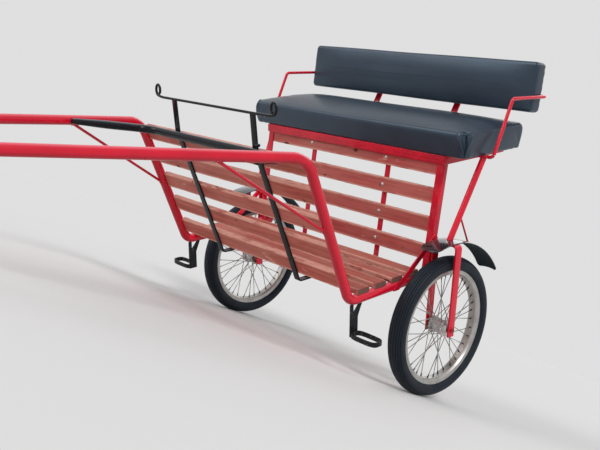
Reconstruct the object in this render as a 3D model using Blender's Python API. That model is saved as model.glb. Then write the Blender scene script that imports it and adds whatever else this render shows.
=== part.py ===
"""Two-wheeled road cart for a single pony, parked nose down on its shaft tips.

Metres, +Z up, the shafts point to -Y and +X is the cart's left side.
The body is drawn level, as it rolls, with z counted from the ground. It hangs
on one empty on the axle line, which is turned until the shaft tips touch the
ground. Steel pieces meet with the small running gap GAP between them.
"""
import math

import bmesh
import bpy
from mathutils import Matrix, Vector

# Overall sizes
WHEEL_RADIUS = 0.280          # outside of the tyre
FRAME_HALF = 0.500            # centre line of the side tubes
WHEEL_OUT = 0.076             # side tube's centre line to the wheel's middle plane
WHEEL_HALF_TRACK = FRAME_HALF + WHEEL_OUT
GAP = 0.0003                  # seat clearance between touching pieces
OVERRUN = 0.004               # how far a cutter passes what it cuts

# Side tubes: shaft, leg and floor rail are one bent tube on each side
TUBE_RADIUS = 0.018
FLOOR_TUBE_Z = 0.475
LEG_FOOT_Y = -0.431
LEG_TOP_Y = -0.632
LEG_TOP_Z = 1.020
FLOOR_TUBE_END_Y = 0.052
SHAFT_RISE = 0.140            # metres up for each metre forward
SHAFT_CONVERGE = 0.156        # metres inward for each metre forward
SHAFT_TAPER_LENGTH = 1.050    # leg bend to where the shafts turn parallel
SHAFT_TIP = 0.660             # parallel end of the shaft
TIP_RISE = 0.050              # how far the parallel end still climbs
TOP_BEND = 0.095
FOOT_BEND = 0.045
TIP_BEND = 1.200
TUBE_SIDES = 14
TIP_DOME_ANGLES = (84.0, 60.0, 30.0)

# Hoop in front of the dash
BAR_RADIUS = 0.016
BAR_DROP = 0.016              # below the leg tops
BAR_Z = LEG_TOP_Z - BAR_DROP
BAR_REACH = 0.330             # dash to the ends welded inside the shafts
BAR_BEND = 0.070

# Dash: slats between the legs, flat uprights before them, rein rail on top
SLAT_THICK = 0.018
DASH_SLAT_WIDE = 0.064
DASH_SLAT_PITCH = 0.115
DASH_SLATS = 5
DASH_DROP = 0.041             # leg tops to the middle of the top slat
DASH_FIRST_Z = LEG_TOP_Z - DASH_DROP
CLEAT_WIDE = 0.026
CLEAT_THICK = 0.004
UPRIGHT_SHARE = 0.470         # of the frame's half width
UPRIGHT_X = FRAME_HALF * UPRIGHT_SHARE
UPRIGHT_WIDE = 0.028
UPRIGHT_THICK = 0.006
UPRIGHT_RISE = 0.110          # above the leg tops
UPRIGHT_TOP_Z = LEG_TOP_Z + UPRIGHT_RISE
UPRIGHT_LEAN = 0.010          # how far its top leans on past the bend
UPRIGHT_BEND_Z = LEG_TOP_Z - TUBE_RADIUS / 2.0
UPRIGHT_FOOT = 0.062
RAIL_RADIUS = 0.0050
RAIL_SHARE = 0.664            # of the frame's half width, to where the scrolls start
RAIL_HALF = FRAME_HALF * RAIL_SHARE
SCROLL_WIDE = 0.030
SCROLL_HIGH = 0.044
SCROLL_TURN = math.radians(318.0)
SCROLL_SHRINK = 0.22          # how much the scroll tightens to its end
SCROLL_STEPS = 14
BRACE_RADIUS = 0.0055
BRACE_TOP_REACH = 0.345       # along the shaft from the leg top
BRACE_FOOT_Z = 0.740

# Floor
FLOOR_SLAT_THICK = 0.020
FLOOR_SLAT_WIDE = 0.060
FLOOR_SLAT_PITCH = 0.0900
FLOOR_SLATS = 4
FLOOR_FIRST_Y = -0.368
FLOOR_OVERHANG = 0.014        # slat ends past the side tubes' centre lines
FLOOR_HALF = FRAME_HALF + FLOOR_OVERHANG
STRAP_WIDE = 0.022
STRAP_THICK = 0.006
STRAP_SHARE = 0.436           # of the frame's half width
STRAP_X = FRAME_HALF * STRAP_SHARE
STRAP_FRONT_Y = -0.372

# Seat frame and the slatted panel below its front edge
SEAT_HALF = FRAME_HALF + TUBE_RADIUS
SEAT_FRONT_Y = 0.066
SEAT_TOP_Z = 0.932
SEAT_DEPTH = 0.390
ANGLE_WIDE = 0.034
ANGLE_THICK = 0.004
POST_WIDE = 0.038
POST_LEAN = 0.165             # metres back for each metre up
PANEL_SLAT_WIDE = 0.060
PANEL_SLAT_PITCH = 0.1105
PANEL_SLATS = 4
PANEL_DROP = 0.047            # seat frame's top to the middle of the top slat
PANEL_FIRST_Z = SEAT_TOP_Z - PANEL_DROP

# Seat and back rest
BOARD_THICK = 0.012
BOARD_OVERHANG = 0.082        # board past the seat frame at each end
BOARD_HALF = SEAT_HALF + BOARD_OVERHANG
BOARD_REAR_SHORT = 0.006      # board's rear edge before the seat frame's
BOARD_FRONT_Y = 0.064
CUSHION_BULGE = 0.016         # padding past the board's edges
CUSHION_EDGE = 0.088
CUSHION_CROWN = 0.026
BACK_OVERHANG = 0.010         # back cushion past the seat cushion at each end
BACK_HALF = BOARD_HALF + CUSHION_BULGE + BACK_OVERHANG
BACK_HIGH = 0.198
BACK_RISE = 0.140             # seat frame's top to the back cushion
BACK_BOTTOM_Z = SEAT_TOP_Z + BACK_RISE
BACK_SETBACK = 0.006          # its front face before the seat frame's rear
BACK_LEAN = math.radians(6.5)
BACK_CUSHION_THICK = 0.060
BACK_BOARD_THICK = 0.012
BACK_BOARD_INSET = 0.012
BACK_CROWN_SHARE = 0.2
CUSHION_CORNER = 0.022        # radius of the corners seen from above
CUSHION_CORNER_STEPS = 4
CUSHION_WALL = ((0.0, 0.0), (0.2, 0.62), (0.5, 1.0), (0.72, 0.85), (0.88, 0.4), (0.97, -0.4),
                (1.0, -1.3))  # shares of the wall's height and of the bulge
CUSHION_TOP = (0.80, 0.52, 0.24, 0.04)
BACK_SUPPORT_SHARE = 0.452    # of the frame's half width
BACK_SUPPORT_X = FRAME_HALF * BACK_SUPPORT_SHARE
BACK_SUPPORT_WIDE = 0.030
BACK_SUPPORT_THICK = 0.008
BACK_SUPPORT_TOP = 0.150      # overlap up the back board
BACK_LEG_STEP = 0.030
CARRIER_SHARE = 0.380         # of the seat frame's depth
CARRIER_WIDE = 0.030
CARRIER_THICK = 0.008
ARM_RADIUS = 0.0068
ARM_CLEAR = 0.0155            # back cushion's end to the arm's centre line
ARM_X = BACK_HALF + ARM_CLEAR
ARM_TURN = 0.0195             # carrier's end to the arm's centre line
CARRIER_HALF = ARM_X - ARM_TURN
ARM_BEND_Y = 0.290
ARM_RISE = 0.208              # above the seat frame's top
ARM_TOP_Z = SEAT_TOP_Z + ARM_RISE
ARM_HOOK = 0.066              # reach of the arm behind the back board
ARM_HOOK_X = BACK_HALF - ARM_HOOK
ARM_BEND = 0.020

# Wheel carriers
FORK_WIDE = 0.032
FORK_THICK = 0.008
FORK_LEAN = 0.022             # crown behind the axle line
FORK_BELOW = 0.028            # leg below the axle
FORK_BEND = 0.016
GUARD_CLEAR = 0.064           # tyre to guard
GUARD_RADIUS = WHEEL_RADIUS + GUARD_CLEAR
GUARD_THICK = 0.002
GUARD_WIDE = 0.090
GUARD_CROWN = 0.004
GUARD_FRONT = math.radians(-16.5)
GUARD_REAR = math.radians(60.0)
STRUT_RADIUS = 0.012
STRUT_SPLAY = 0.024           # its top outside its foot
STRUT_TOP_X = WHEEL_HALF_TRACK + STRUT_SPLAY
STRUT_FOOT_Y = 0.036
STAY_RADIUS = 0.003
STAY_FOOT_Y = 0.172
STAY_TOP_SHARE = 0.30
SIDE_BRACE_WIDE = 0.022
SIDE_BRACE_THICK = 0.005
SIDE_BRACE_FOOT_Y = -0.218    # ends of its upper edge
SIDE_BRACE_FOOT_Z = 0.466
SIDE_BRACE_TOP_Y = 0.017
SIDE_BRACE_TOP_Z = 0.640
AXLE_RADIUS = 0.007
NUT_RADIUS = 0.0125
NUT_THICK = 0.010
AXLE_STUB = 0.006

# Steps
STEP_WIDE = 0.038
STEP_THICK = 0.006
STEP_Y = -0.392
STEP_Z = 0.322
STEP_REACH = 0.130
STEP_DEEP = 0.086
STEP_BAND = 0.018
STEP_FORK_WIDE = 0.060        # over the two prongs that reach the tube
STEP_FORK_DROP = 0.034
STEP_PRONG = 0.015

# Wheels
TYRE_SECTION = 0.065
TYRE_DEPTH = 0.058
TYRE_SHOWING = 0.050          # tyre outside the rim's edge
RIM_RADIUS = WHEEL_RADIUS - TYRE_SHOWING
RIM_WIDE = 0.048
RIM_WELL = 0.013              # edge to the bed that holds the beads
RIM_BED = RIM_RADIUS - RIM_WELL
RIM_BELLY = 0.009             # bed to the inside of the rim
RIM_INNER = RIM_BED - RIM_BELLY
RIM_WALL = 0.0030
HUB_HALF = 0.042
HUB_BARREL = 0.019
HUB_FLANGE = 0.034
HUB_FLANGE_X = 0.027
HUB_FLANGE_THICK = 0.006
HUB_DRUM = 0.024
BORE_CLEAR = 0.0010
SPOKES = 36
SPOKE_RADIUS = 0.0019
SPOKE_SWEEP = math.radians(48.0)
WHEEL_STEPS = 40

LEG_SLOPE = (LEG_TOP_Y - LEG_FOOT_Y) / (LEG_TOP_Z - FLOOR_TUBE_Z)
LEG_DIR = Vector((0.0, LEG_SLOPE, 1.0)).normalized()
LEG_BACK = Vector((0.0, 1.0, -LEG_SLOPE)).normalized()
POST_DIR = Vector((0.0, POST_LEAN, 1.0)).normalized()
POST_BACK = Vector((0.0, 1.0, -POST_LEAN)).normalized()
ACROSS = Vector((1.0, 0.0, 0.0))
BACK = Vector((0.0, 1.0, 0.0))
UP = Vector((0.0, 0.0, 1.0))
SIDES = (("left", 1.0), ("right", -1.0))


def material(name, colour, roughness, metallic=0.0, coat=0.0):
    """One Principled material."""
    made = bpy.data.materials.new(name)
    made.use_nodes = True
    shader = made.node_tree.nodes["Principled BSDF"]
    shader.inputs["Base Color"].default_value = (*colour, 1.0)
    shader.inputs["Roughness"].default_value = roughness
    shader.inputs["Metallic"].default_value = metallic
    shader.inputs["Coat Weight"].default_value = coat
    return made


def finish(name, bm, parent, finish_material, smooth=True):
    """Turn a bmesh into a named object with its material."""
    bmesh.ops.remove_doubles(bm, verts=bm.verts, dist=GAP / 30.0)
    bmesh.ops.recalc_face_normals(bm, faces=bm.faces)
    mesh = bpy.data.meshes.new(name)
    bm.to_mesh(mesh)
    bm.free()
    made = bpy.data.objects.new(name, mesh)
    bpy.context.scene.collection.objects.link(made)
    made.parent = parent
    if finish_material:
        own = finish_material.copy()
        own.name = name + "_finish"
        mesh.materials.append(own)
    if smooth:
        mesh.shade_smooth()
        mesh.set_sharp_from_angle(angle=math.radians(35.0))
    return made


def leg_y(z):
    """Centre line of a leg at the height z."""
    return LEG_FOOT_Y + LEG_SLOPE * (z - FLOOR_TUBE_Z)


def panel_y(z):
    """Front face of the posts at the height z."""
    return SEAT_FRONT_Y + POST_LEAN * (z - SEAT_TOP_Z)


def seat_front():
    """Front face of the seat frame, whose flange hangs before the posts."""
    return panel_y(SEAT_TOP_Z - ANGLE_WIDE) - GAP - ANGLE_THICK


def shaft_point(along, side):
    """Centre line of the straight shaft, along metres in front of the leg top."""
    return Vector((side * (FRAME_HALF - SHAFT_CONVERGE * along),
                   LEG_TOP_Y - along, LEG_TOP_Z + SHAFT_RISE * along))


def rounded(points, radius, steps=5):
    """Polyline with an arc of the given radius in each of its corners."""
    points = [Vector(p) for p in points]
    radii = radius if isinstance(radius, (list, tuple)) else [radius] * (len(points) - 2)
    path = [points[0]]
    for before, corner, after, bend in zip(points, points[1:], points[2:], radii):
        into = (corner - before).normalized()
        out = (after - corner).normalized()
        turn = into.angle(out)
        if turn < math.radians(1.0):
            path.append(corner)
            continue
        cut = bend * math.tan(turn / 2.0)
        centre = corner + (out - into).normalized() * (bend / math.cos(turn / 2.0))
        start = corner - into * cut - centre
        axis = into.cross(out).normalized()
        for step in range(steps + 1):
            path.append(centre + Matrix.Rotation(turn * step / steps, 3, axis) @ start)
    path.append(points[-1])
    return path


def slide_to_plane(point, direction, plane):
    """Move a point along a direction until it lies on a plane (point, normal)."""
    at, normal = plane
    return point + direction * ((at - point).dot(normal) / direction.dot(normal))


def sweep(path, outline, side, start_plane=None, end_plane=None, scales=None):
    """Carry a closed outline of (side, across) offsets along a path of points."""
    bm = bmesh.new()
    path = [Vector(p) for p in path]
    rings = []
    for index, point in enumerate(path):
        before = path[max(index - 1, 0)]
        after = path[min(index + 1, len(path) - 1)]
        into = (point - before).normalized() if index else (after - point).normalized()
        out = (after - point).normalized() if index < len(path) - 1 else into
        tangent = (into + out).normalized()
        first = (side - tangent * side.dot(tangent)).normalized()
        second = tangent.cross(first)
        size = scales[index] if scales else 1.0
        ring = [point + (first * a + second * b) * size for a, b in outline]
        if index == 0 and start_plane:
            ring = [slide_to_plane(p, tangent, start_plane) for p in ring]
        if index == len(path) - 1 and end_plane:
            ring = [slide_to_plane(p, tangent, end_plane) for p in ring]
        rings.append([bm.verts.new(p) for p in ring])
    count = len(outline)
    for one, two in zip(rings, rings[1:]):
        for k in range(count):
            bm.faces.new((one[k], one[(k + 1) % count], two[(k + 1) % count], two[k]))
    bm.faces.new(rings[0][::-1])
    bm.faces.new(rings[-1])
    return bm


def round_outline(radius, sides):
    """Regular outline of a rod or tube."""
    return [(radius * math.cos(2.0 * math.pi * k / sides),
             radius * math.sin(2.0 * math.pi * k / sides)) for k in range(sides)]


def flat_outline(wide, thick):
    """Flat bar, wide along the sweep's side and thick across it."""
    a, b = wide / 2.0, thick / 2.0
    return [(-a, -b), (a, -b), (a, b), (-a, b)]


def squared_loop(count, power):
    """Points around a unit square, with rounder corners as power nears one."""
    loop = []
    for k in range(count):
        angle = 2.0 * math.pi * k / count
        c, s = math.cos(angle), math.sin(angle)
        loop.append((math.copysign(abs(c) ** power, c), math.copysign(abs(s) ** power, s)))
    return loop


def slab(low, high):
    """Box between two corners."""
    bm = bmesh.new()
    bmesh.ops.create_cube(bm, size=1.0)
    low, high = Vector(low), Vector(high)
    for vert in bm.verts:
        vert.co = Vector(((low[k] + high[k]) / 2.0 + vert.co[k] * (high[k] - low[k])
                          for k in range(3)))
    return bm


def plank(centre, half, wide, thick, along, back, edge):
    """Wooden slat across the cart with its long edges eased."""
    a, b, e = wide / 2.0, thick / 2.0, edge
    outline = [(-a + e, -b), (a - e, -b), (a, -b + e), (a, b - e),
               (a - e, b), (-a + e, b), (-a, b - e), (-a, -b + e)]
    bm = bmesh.new()
    rings = []
    for x in (-half, half):
        rings.append([bm.verts.new(Vector((x, 0.0, 0.0)) + Vector(centre) + along * u + back * v)
                      for u, v in outline])
    count = len(outline)
    for k in range(count):
        bm.faces.new((rings[0][k], rings[0][(k + 1) % count],
                      rings[1][(k + 1) % count], rings[1][k]))
    bm.faces.new(rings[0][::-1])
    bm.faces.new(rings[1])
    return bm


def revolve(profile, steps, closed):
    """Turn a profile of (x, radius) points about the X axis."""
    bm = bmesh.new()
    rings = []
    for step in range(steps):
        angle = 2.0 * math.pi * step / steps
        rings.append([bm.verts.new((x, r * math.sin(angle), r * math.cos(angle)))
                      for x, r in profile])
    count = len(profile)
    for one, two in zip(rings, rings[1:] + rings[:1]):
        for k in range(count if closed else count - 1):
            bm.faces.new((one[k], one[(k + 1) % count], two[(k + 1) % count], two[k]))
    return bm


def cutter(name, bm, parent):
    """Hidden tool for a Boolean."""
    made = finish(name, bm, parent, None, smooth=False)
    made.hide_render = True
    made.display_type = "WIRE"
    return made


def boolean(target, tool, operation="DIFFERENCE"):
    """Exact Boolean modifier."""
    made = target.modifiers.new(tool.name, "BOOLEAN")
    made.object = tool
    made.operation = operation
    made.solver = "EXACT"
    return made


def side_tube_path(side):
    """Shaft tip, leg top, leg foot and floor rail end."""
    bend = shaft_point(SHAFT_TAPER_LENGTH, side)
    tip = tip_centre(side)
    leg_foot = (side * FRAME_HALF, LEG_FOOT_Y, FLOOR_TUBE_Z)
    rear = (side * FRAME_HALF, FLOOR_TUBE_END_Y, FLOOR_TUBE_Z)
    corners = [tip, bend, shaft_point(0.0, side), leg_foot, rear]
    return rounded(corners, [TIP_BEND, TOP_BEND, FOOT_BEND])


def tip_centre(side):
    """Centre of the round end of a shaft."""
    return shaft_point(SHAFT_TAPER_LENGTH, side) + Vector((0.0, -SHAFT_TIP, TIP_RISE))


def park_angle():
    """Nose-down turn about the axle at which the shaft tips touch the ground."""
    ahead = -tip_centre(1.0).y
    above = tip_centre(1.0).z - WHEEL_RADIUS
    reach = math.hypot(ahead, above)
    return math.atan2(above, ahead) + math.asin((WHEEL_RADIUS - TUBE_RADIUS) / reach)


def side_tube(name, side, level, paint):
    """Bent side tube whose shaft tip is closed by a dome."""
    path = side_tube_path(side)
    ahead = (path[0] - path[1]).normalized()
    rings = [math.radians(angle) for angle in TIP_DOME_ANGLES]
    dome = [path[0] + ahead * (TUBE_RADIUS * math.sin(angle)) for angle in rings]
    scales = [math.cos(angle) for angle in rings] + [1.0] * len(path)
    bm = sweep(dome + path, round_outline(TUBE_RADIUS, TUBE_SIDES), ACROSS, scales=scales)
    return finish(name, bm, level, paint)


def cross_bar(level, paint):
    """Black hoop that lies on the dash uprights and is welded inside the shafts."""
    clear = UPRIGHT_THICK / 2.0 + GAP + BAR_RADIUS
    middle = Vector((0.0, leg_y(BAR_Z), BAR_Z)) - LEG_BACK * clear
    end_along = BAR_REACH + LEG_TOP_Y - middle.y
    inside = shaft_point(end_along, 1.0)
    tilt = math.hypot(1.0, SHAFT_CONVERGE)
    x = inside.x - (TUBE_RADIUS + GAP + BAR_RADIUS) * tilt
    points = [(-x, inside.y, inside.z), (-x, middle.y, middle.z),
              (x, middle.y, middle.z), (x, inside.y, inside.z)]
    bm = sweep(rounded(points, BAR_BEND), round_outline(BAR_RADIUS, TUBE_SIDES), UP)
    return finish("cross_bar", bm, level, paint)


def brace_rod(name, side, level, paint):
    """Thin rod from the underside of the shaft back to the leg."""
    top = shaft_point(BRACE_TOP_REACH, side)
    foot = Vector((side * FRAME_HALF, leg_y(BRACE_FOOT_Z), BRACE_FOOT_Z))
    along = (top - foot).normalized()
    shaft_dir = (shaft_point(1.0, side) - shaft_point(0.0, side)).normalized()
    under = (foot - top) - shaft_dir * (foot - top).dot(shaft_dir)
    under.normalize()
    front = (top - foot) - LEG_DIR * (top - foot).dot(LEG_DIR)
    front.normalize()
    seat = TUBE_RADIUS + GAP
    start = (foot + front * seat, front)
    end = (top + under * seat, under)
    bm = sweep([foot, foot + along * (top - foot).length], round_outline(BRACE_RADIUS, 8),
               ACROSS, start, end)
    return finish(name, bm, level, paint)


def upright(name, side, level, paint):
    """Flat bar before the dash slats, with its foot turned back under the floor."""
    x = side * UPRIGHT_X
    foot_z = FLOOR_TUBE_Z + TUBE_RADIUS - STRAP_THICK - GAP - UPRIGHT_THICK / 2.0
    bend_y = leg_y(UPRIGHT_BEND_Z)
    points = [(x, bend_y - UPRIGHT_LEAN, UPRIGHT_TOP_Z), (x, bend_y, UPRIGHT_BEND_Z),
              (x, leg_y(foot_z), foot_z), (x, leg_y(foot_z) + UPRIGHT_FOOT, foot_z)]
    bm = sweep(rounded(points, [UPRIGHT_THICK * 4.0, UPRIGHT_THICK * 2.0], 4),
               flat_outline(UPRIGHT_WIDE, UPRIGHT_THICK), ACROSS)
    return finish(name, bm, level, paint)


def rein_rail(level, paint):
    """Rod on the uprights whose ends curl up into narrow scrolls."""
    z = UPRIGHT_TOP_Z + GAP + RAIL_RADIUS
    y = leg_y(UPRIGHT_BEND_Z) - UPRIGHT_LEAN
    scroll = []
    for k in range(SCROLL_STEPS + 1):
        share = k / SCROLL_STEPS
        angle = SCROLL_TURN * share
        shrink = 1.0 - SCROLL_SHRINK * share
        scroll.append((RAIL_HALF + SCROLL_WIDE / 2.0 * math.sin(angle) * shrink,
                       z + SCROLL_HIGH / 2.0 * (1.0 - math.cos(angle) * shrink)))
    path = [Vector((-a, y, b)) for a, b in reversed(scroll)]
    path += [Vector((a, y, b)) for a, b in scroll]
    bm = sweep(path, round_outline(RAIL_RADIUS, 8), BACK)
    return finish("rein_rail", bm, level, paint)


def dash(level, paints):
    """Slats between the legs and the strips behind their ends that carry them."""
    half = FRAME_HALF - TUBE_RADIUS - GAP
    front = UPRIGHT_THICK / 2.0 + GAP
    step = DASH_SLAT_PITCH
    top = Vector((0.0, leg_y(DASH_FIRST_Z), DASH_FIRST_Z))
    for number in range(DASH_SLATS):
        centre = top - LEG_DIR * (step * number) + LEG_BACK * (front + SLAT_THICK / 2.0)
        bm = plank(centre, half, DASH_SLAT_WIDE, SLAT_THICK, LEG_DIR, LEG_BACK, SLAT_THICK / 9.0)
        finish("dash_slat_%d" % (number + 1), bm, level, paints["wood"], smooth=False)
    behind = front + SLAT_THICK + GAP + CLEAT_THICK / 2.0
    for word, side in SIDES:
        x = side * (half - CLEAT_WIDE / 2.0)
        high = top + LEG_DIR * (DASH_SLAT_WIDE / 2.0) + LEG_BACK * behind
        low = top - LEG_DIR * (step * (DASH_SLATS - 1) + DASH_SLAT_WIDE / 2.0) + LEG_BACK * behind
        bm = sweep([Vector((x, low.y, low.z)), Vector((x, high.y, high.z))],
                   flat_outline(CLEAT_WIDE, CLEAT_THICK), ACROSS)
        finish("dash_cleat_" + word, bm, level, paints["red"], smooth=False)


def floor(level, paints):
    """Slats across the floor rails."""
    low = FLOOR_TUBE_Z + TUBE_RADIUS + GAP
    for number in range(FLOOR_SLATS):
        centre = Vector((0.0, FLOOR_FIRST_Y + FLOOR_SLAT_PITCH * number,
                         low + FLOOR_SLAT_THICK / 2.0))
        bm = plank(centre, FLOOR_HALF, FLOOR_SLAT_WIDE, FLOOR_SLAT_THICK, BACK, UP,
                   FLOOR_SLAT_THICK / 10.0)
        finish("floor_slat_%d" % (number + 1), bm, level, paints["wood"], smooth=False)


def panel(level, paints):
    """Slats behind the front flange of the posts, below the seat."""
    depth = ANGLE_THICK + GAP + SLAT_THICK / 2.0
    half = SEAT_HALF - ANGLE_THICK - GAP
    top = Vector((0.0, panel_y(PANEL_FIRST_Z), PANEL_FIRST_Z))
    for number in range(PANEL_SLATS):
        centre = top - POST_DIR * (PANEL_SLAT_PITCH * number) + POST_BACK * depth
        bm = plank(centre, half, PANEL_SLAT_WIDE, SLAT_THICK, POST_DIR, POST_BACK,
                   SLAT_THICK / 9.0)
        finish("panel_slat_%d" % (number + 1), bm, level, paints["wood"], smooth=False)
    strap_z = FLOOR_TUBE_Z + TUBE_RADIUS - STRAP_THICK / 2.0
    behind = ANGLE_THICK + 2.0 * GAP + SLAT_THICK + STRAP_THICK / 2.0
    for word, side in SIDES:
        x = side * STRAP_X
        high_z = SEAT_TOP_Z - ANGLE_THICK - GAP
        high = Vector((x, panel_y(high_z), high_z)) + POST_BACK * behind
        low = high - POST_DIR * ((high.z - strap_z) / POST_DIR.z)
        points = [high, low, Vector((x, STRAP_FRONT_Y, strap_z))]
        top_plane = (Vector((0.0, 0.0, high_z)), UP)
        bm = sweep(rounded(points, [STRAP_THICK * 3.0], 4), flat_outline(STRAP_WIDE, STRAP_THICK),
                   ACROSS, top_plane)
        finish("strap_" + word, bm, level, paints["red"], smooth=False)


def angle_outline(wide, thick):
    """Angle iron, its corner at the origin, flanges along both axes."""
    return [(0.0, 0.0), (wide, 0.0), (wide, thick), (thick, thick), (thick, wide), (0.0, wide)]


def post(name, side, level, paint):
    """Angle iron from the floor rail up to the seat frame."""
    low_z = FLOOR_TUBE_Z + TUBE_RADIUS + GAP
    high_z = SEAT_TOP_Z - ANGLE_THICK - GAP
    bm = bmesh.new()
    rings = []
    for z in (low_z, high_z):
        y = panel_y(z)
        ring = []
        for a, b in angle_outline(POST_WIDE, ANGLE_THICK):
            ring.append(bm.verts.new((side * (SEAT_HALF - a), y + b / POST_BACK.y, z)))
        rings.append(ring)
    count = len(rings[0])
    for k in range(count):
        bm.faces.new((rings[0][k], rings[0][(k + 1) % count],
                      rings[1][(k + 1) % count], rings[1][k]))
    bm.faces.new(rings[0])
    bm.faces.new(rings[1])
    return finish(name, bm, level, paint, smooth=False)


def seat_frame(level, paint):
    """Mitred angle iron frame, top flange inward, open in the middle."""
    front = seat_front()
    rear = seat_rear()
    bm = bmesh.new()
    loops = []
    for inset, drop in ((0.0, 0.0), (0.0, ANGLE_WIDE), (ANGLE_THICK, ANGLE_WIDE),
                        (ANGLE_THICK, ANGLE_THICK), (ANGLE_WIDE, ANGLE_THICK), (ANGLE_WIDE, 0.0)):
        half = SEAT_HALF + GAP + ANGLE_THICK - inset
        z = SEAT_TOP_Z - drop
        corners = [(-half, front + inset), (half, front + inset),
                   (half, rear - inset), (-half, rear - inset)]
        loops.append([bm.verts.new((x, y, z)) for x, y in corners])
    for one, two in zip(loops, loops[1:] + loops[:1]):
        for k in range(4):
            bm.faces.new((one[k], one[(k + 1) % 4], two[(k + 1) % 4], two[k]))
    return finish("seat_frame", bm, level, paint, smooth=False)


def round_rectangle(half_x, half_y, radius):
    """Rectangle about the origin with an arc in each corner."""
    points = []
    for corner, (sx, sy) in enumerate(((1.0, 1.0), (-1.0, 1.0), (-1.0, -1.0), (1.0, -1.0))):
        for step in range(CUSHION_CORNER_STEPS + 1):
            angle = math.pi / 2.0 * (corner + step / CUSHION_CORNER_STEPS)
            points.append((sx * (half_x - radius) + radius * math.cos(angle),
                           sy * (half_y - radius) + radius * math.sin(angle)))
    return points


def cushion_block(half, depth, edge, crown, bulge):
    """Padded block on z = 0: bulging walls, round top edges and a crowned top."""
    layers = [(-bulge * out, edge * share) for share, out in CUSHION_WALL]
    layers += [(depth / 2.0 * (1.0 - share), edge + crown * (1.0 - share ** 3))
               for share in CUSHION_TOP]
    bm = bmesh.new()
    rings = []
    for inset, z in layers:
        radius = max(CUSHION_CORNER - inset, CUSHION_CORNER / 4.0)
        radius = min(radius, (depth / 2.0 - inset) * 0.9)
        rings.append([bm.verts.new((x, y, z)) for x, y in
                      round_rectangle(half - inset, depth / 2.0 - inset, radius)])
    count = len(rings[0])
    for one, two in zip(rings, rings[1:]):
        for k in range(count):
            bm.faces.new((one[k], one[(k + 1) % count], two[(k + 1) % count], two[k]))
    bm.faces.new(rings[0])
    bm.faces.new(rings[-1])
    return bm


def seat_rear():
    """Rear face of the seat frame."""
    return seat_front() + SEAT_DEPTH


def seat(level, paints):
    """Seat board on the frame and the cushion on the board."""
    board_low = SEAT_TOP_Z + GAP
    board_high = board_low + BOARD_THICK
    board_rear = seat_rear() - BOARD_REAR_SHORT - CUSHION_BULGE
    bm = slab((-BOARD_HALF, BOARD_FRONT_Y, board_low), (BOARD_HALF, board_rear, board_high))
    finish("seat_board", bm, level, paints["board"], smooth=False)
    bm = cushion_block(BOARD_HALF, board_rear - BOARD_FRONT_Y, CUSHION_EDGE, CUSHION_CROWN,
                       CUSHION_BULGE)
    bm.transform(Matrix.Translation((0.0, (board_rear + BOARD_FRONT_Y) / 2.0, board_high + GAP)))
    finish("seat_cushion", bm, level, paints["vinyl"])


def back_rest(level, paints):
    """Back cushion on its board, carried by two flat supports from the seat frame."""
    pivot = Matrix.Translation((0.0, seat_rear() - BACK_SETBACK, BACK_BOTTOM_Z))
    lean = pivot @ Matrix.Rotation(-BACK_LEAN, 4, "X")
    bulge = BACK_BOARD_INSET
    crown = BACK_CUSHION_THICK * BACK_CROWN_SHARE
    bm = cushion_block(BACK_HALF - bulge, BACK_HIGH - 2.0 * bulge, BACK_CUSHION_THICK - crown,
                       crown, bulge)
    stand = Matrix(((1.0, 0.0, 0.0, 0.0), (0.0, 0.0, -1.0, BACK_CUSHION_THICK),
                    (0.0, 1.0, 0.0, BACK_HIGH / 2.0), (0.0, 0.0, 0.0, 1.0)))
    bm.transform(lean @ stand)
    finish("back_cushion", bm, level, paints["vinyl"])
    front = BACK_CUSHION_THICK + GAP
    bm = slab((-BACK_HALF + BACK_BOARD_INSET, front, BACK_BOARD_INSET),
              (BACK_HALF - BACK_BOARD_INSET, front + BACK_BOARD_THICK,
               BACK_HIGH - BACK_BOARD_INSET))
    bm.transform(lean)
    finish("back_board", bm, level, paints["board"], smooth=False)
    off = front + BACK_BOARD_THICK + GAP + BACK_SUPPORT_THICK / 2.0
    leg_y_rear = seat_rear() + GAP + BACK_SUPPORT_THICK / 2.0
    for word, side in SIDES:
        x = side * BACK_SUPPORT_X
        top = lean @ Vector((x, off, BACK_SUPPORT_TOP))
        knee = lean @ Vector((x, off, 0.0))
        points = [top, knee, (x, leg_y_rear, SEAT_TOP_Z + BOARD_THICK + BACK_LEG_STEP),
                  (x, leg_y_rear, SEAT_TOP_Z - ANGLE_WIDE)]
        bm = sweep(rounded(points, BACK_SUPPORT_THICK * 3.0, 3),
                   flat_outline(BACK_SUPPORT_WIDE, BACK_SUPPORT_THICK), ACROSS)
        finish("back_support_" + word, bm, level, paints["red"], smooth=False)
    return lean


def carrier_y():
    """Centre line of the arm carrier."""
    return seat_front() + SEAT_DEPTH * CARRIER_SHARE


def carrier(level, paint):
    """Flat bar across below the seat frame that carries the arms and struts."""
    top = SEAT_TOP_Z - ANGLE_WIDE - GAP
    bm = slab((-CARRIER_HALF, carrier_y() - CARRIER_WIDE / 2.0, top - CARRIER_THICK),
              (CARRIER_HALF, carrier_y() + CARRIER_WIDE / 2.0, top))
    return finish("arm_carrier", bm, level, paint, smooth=False)


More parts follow.
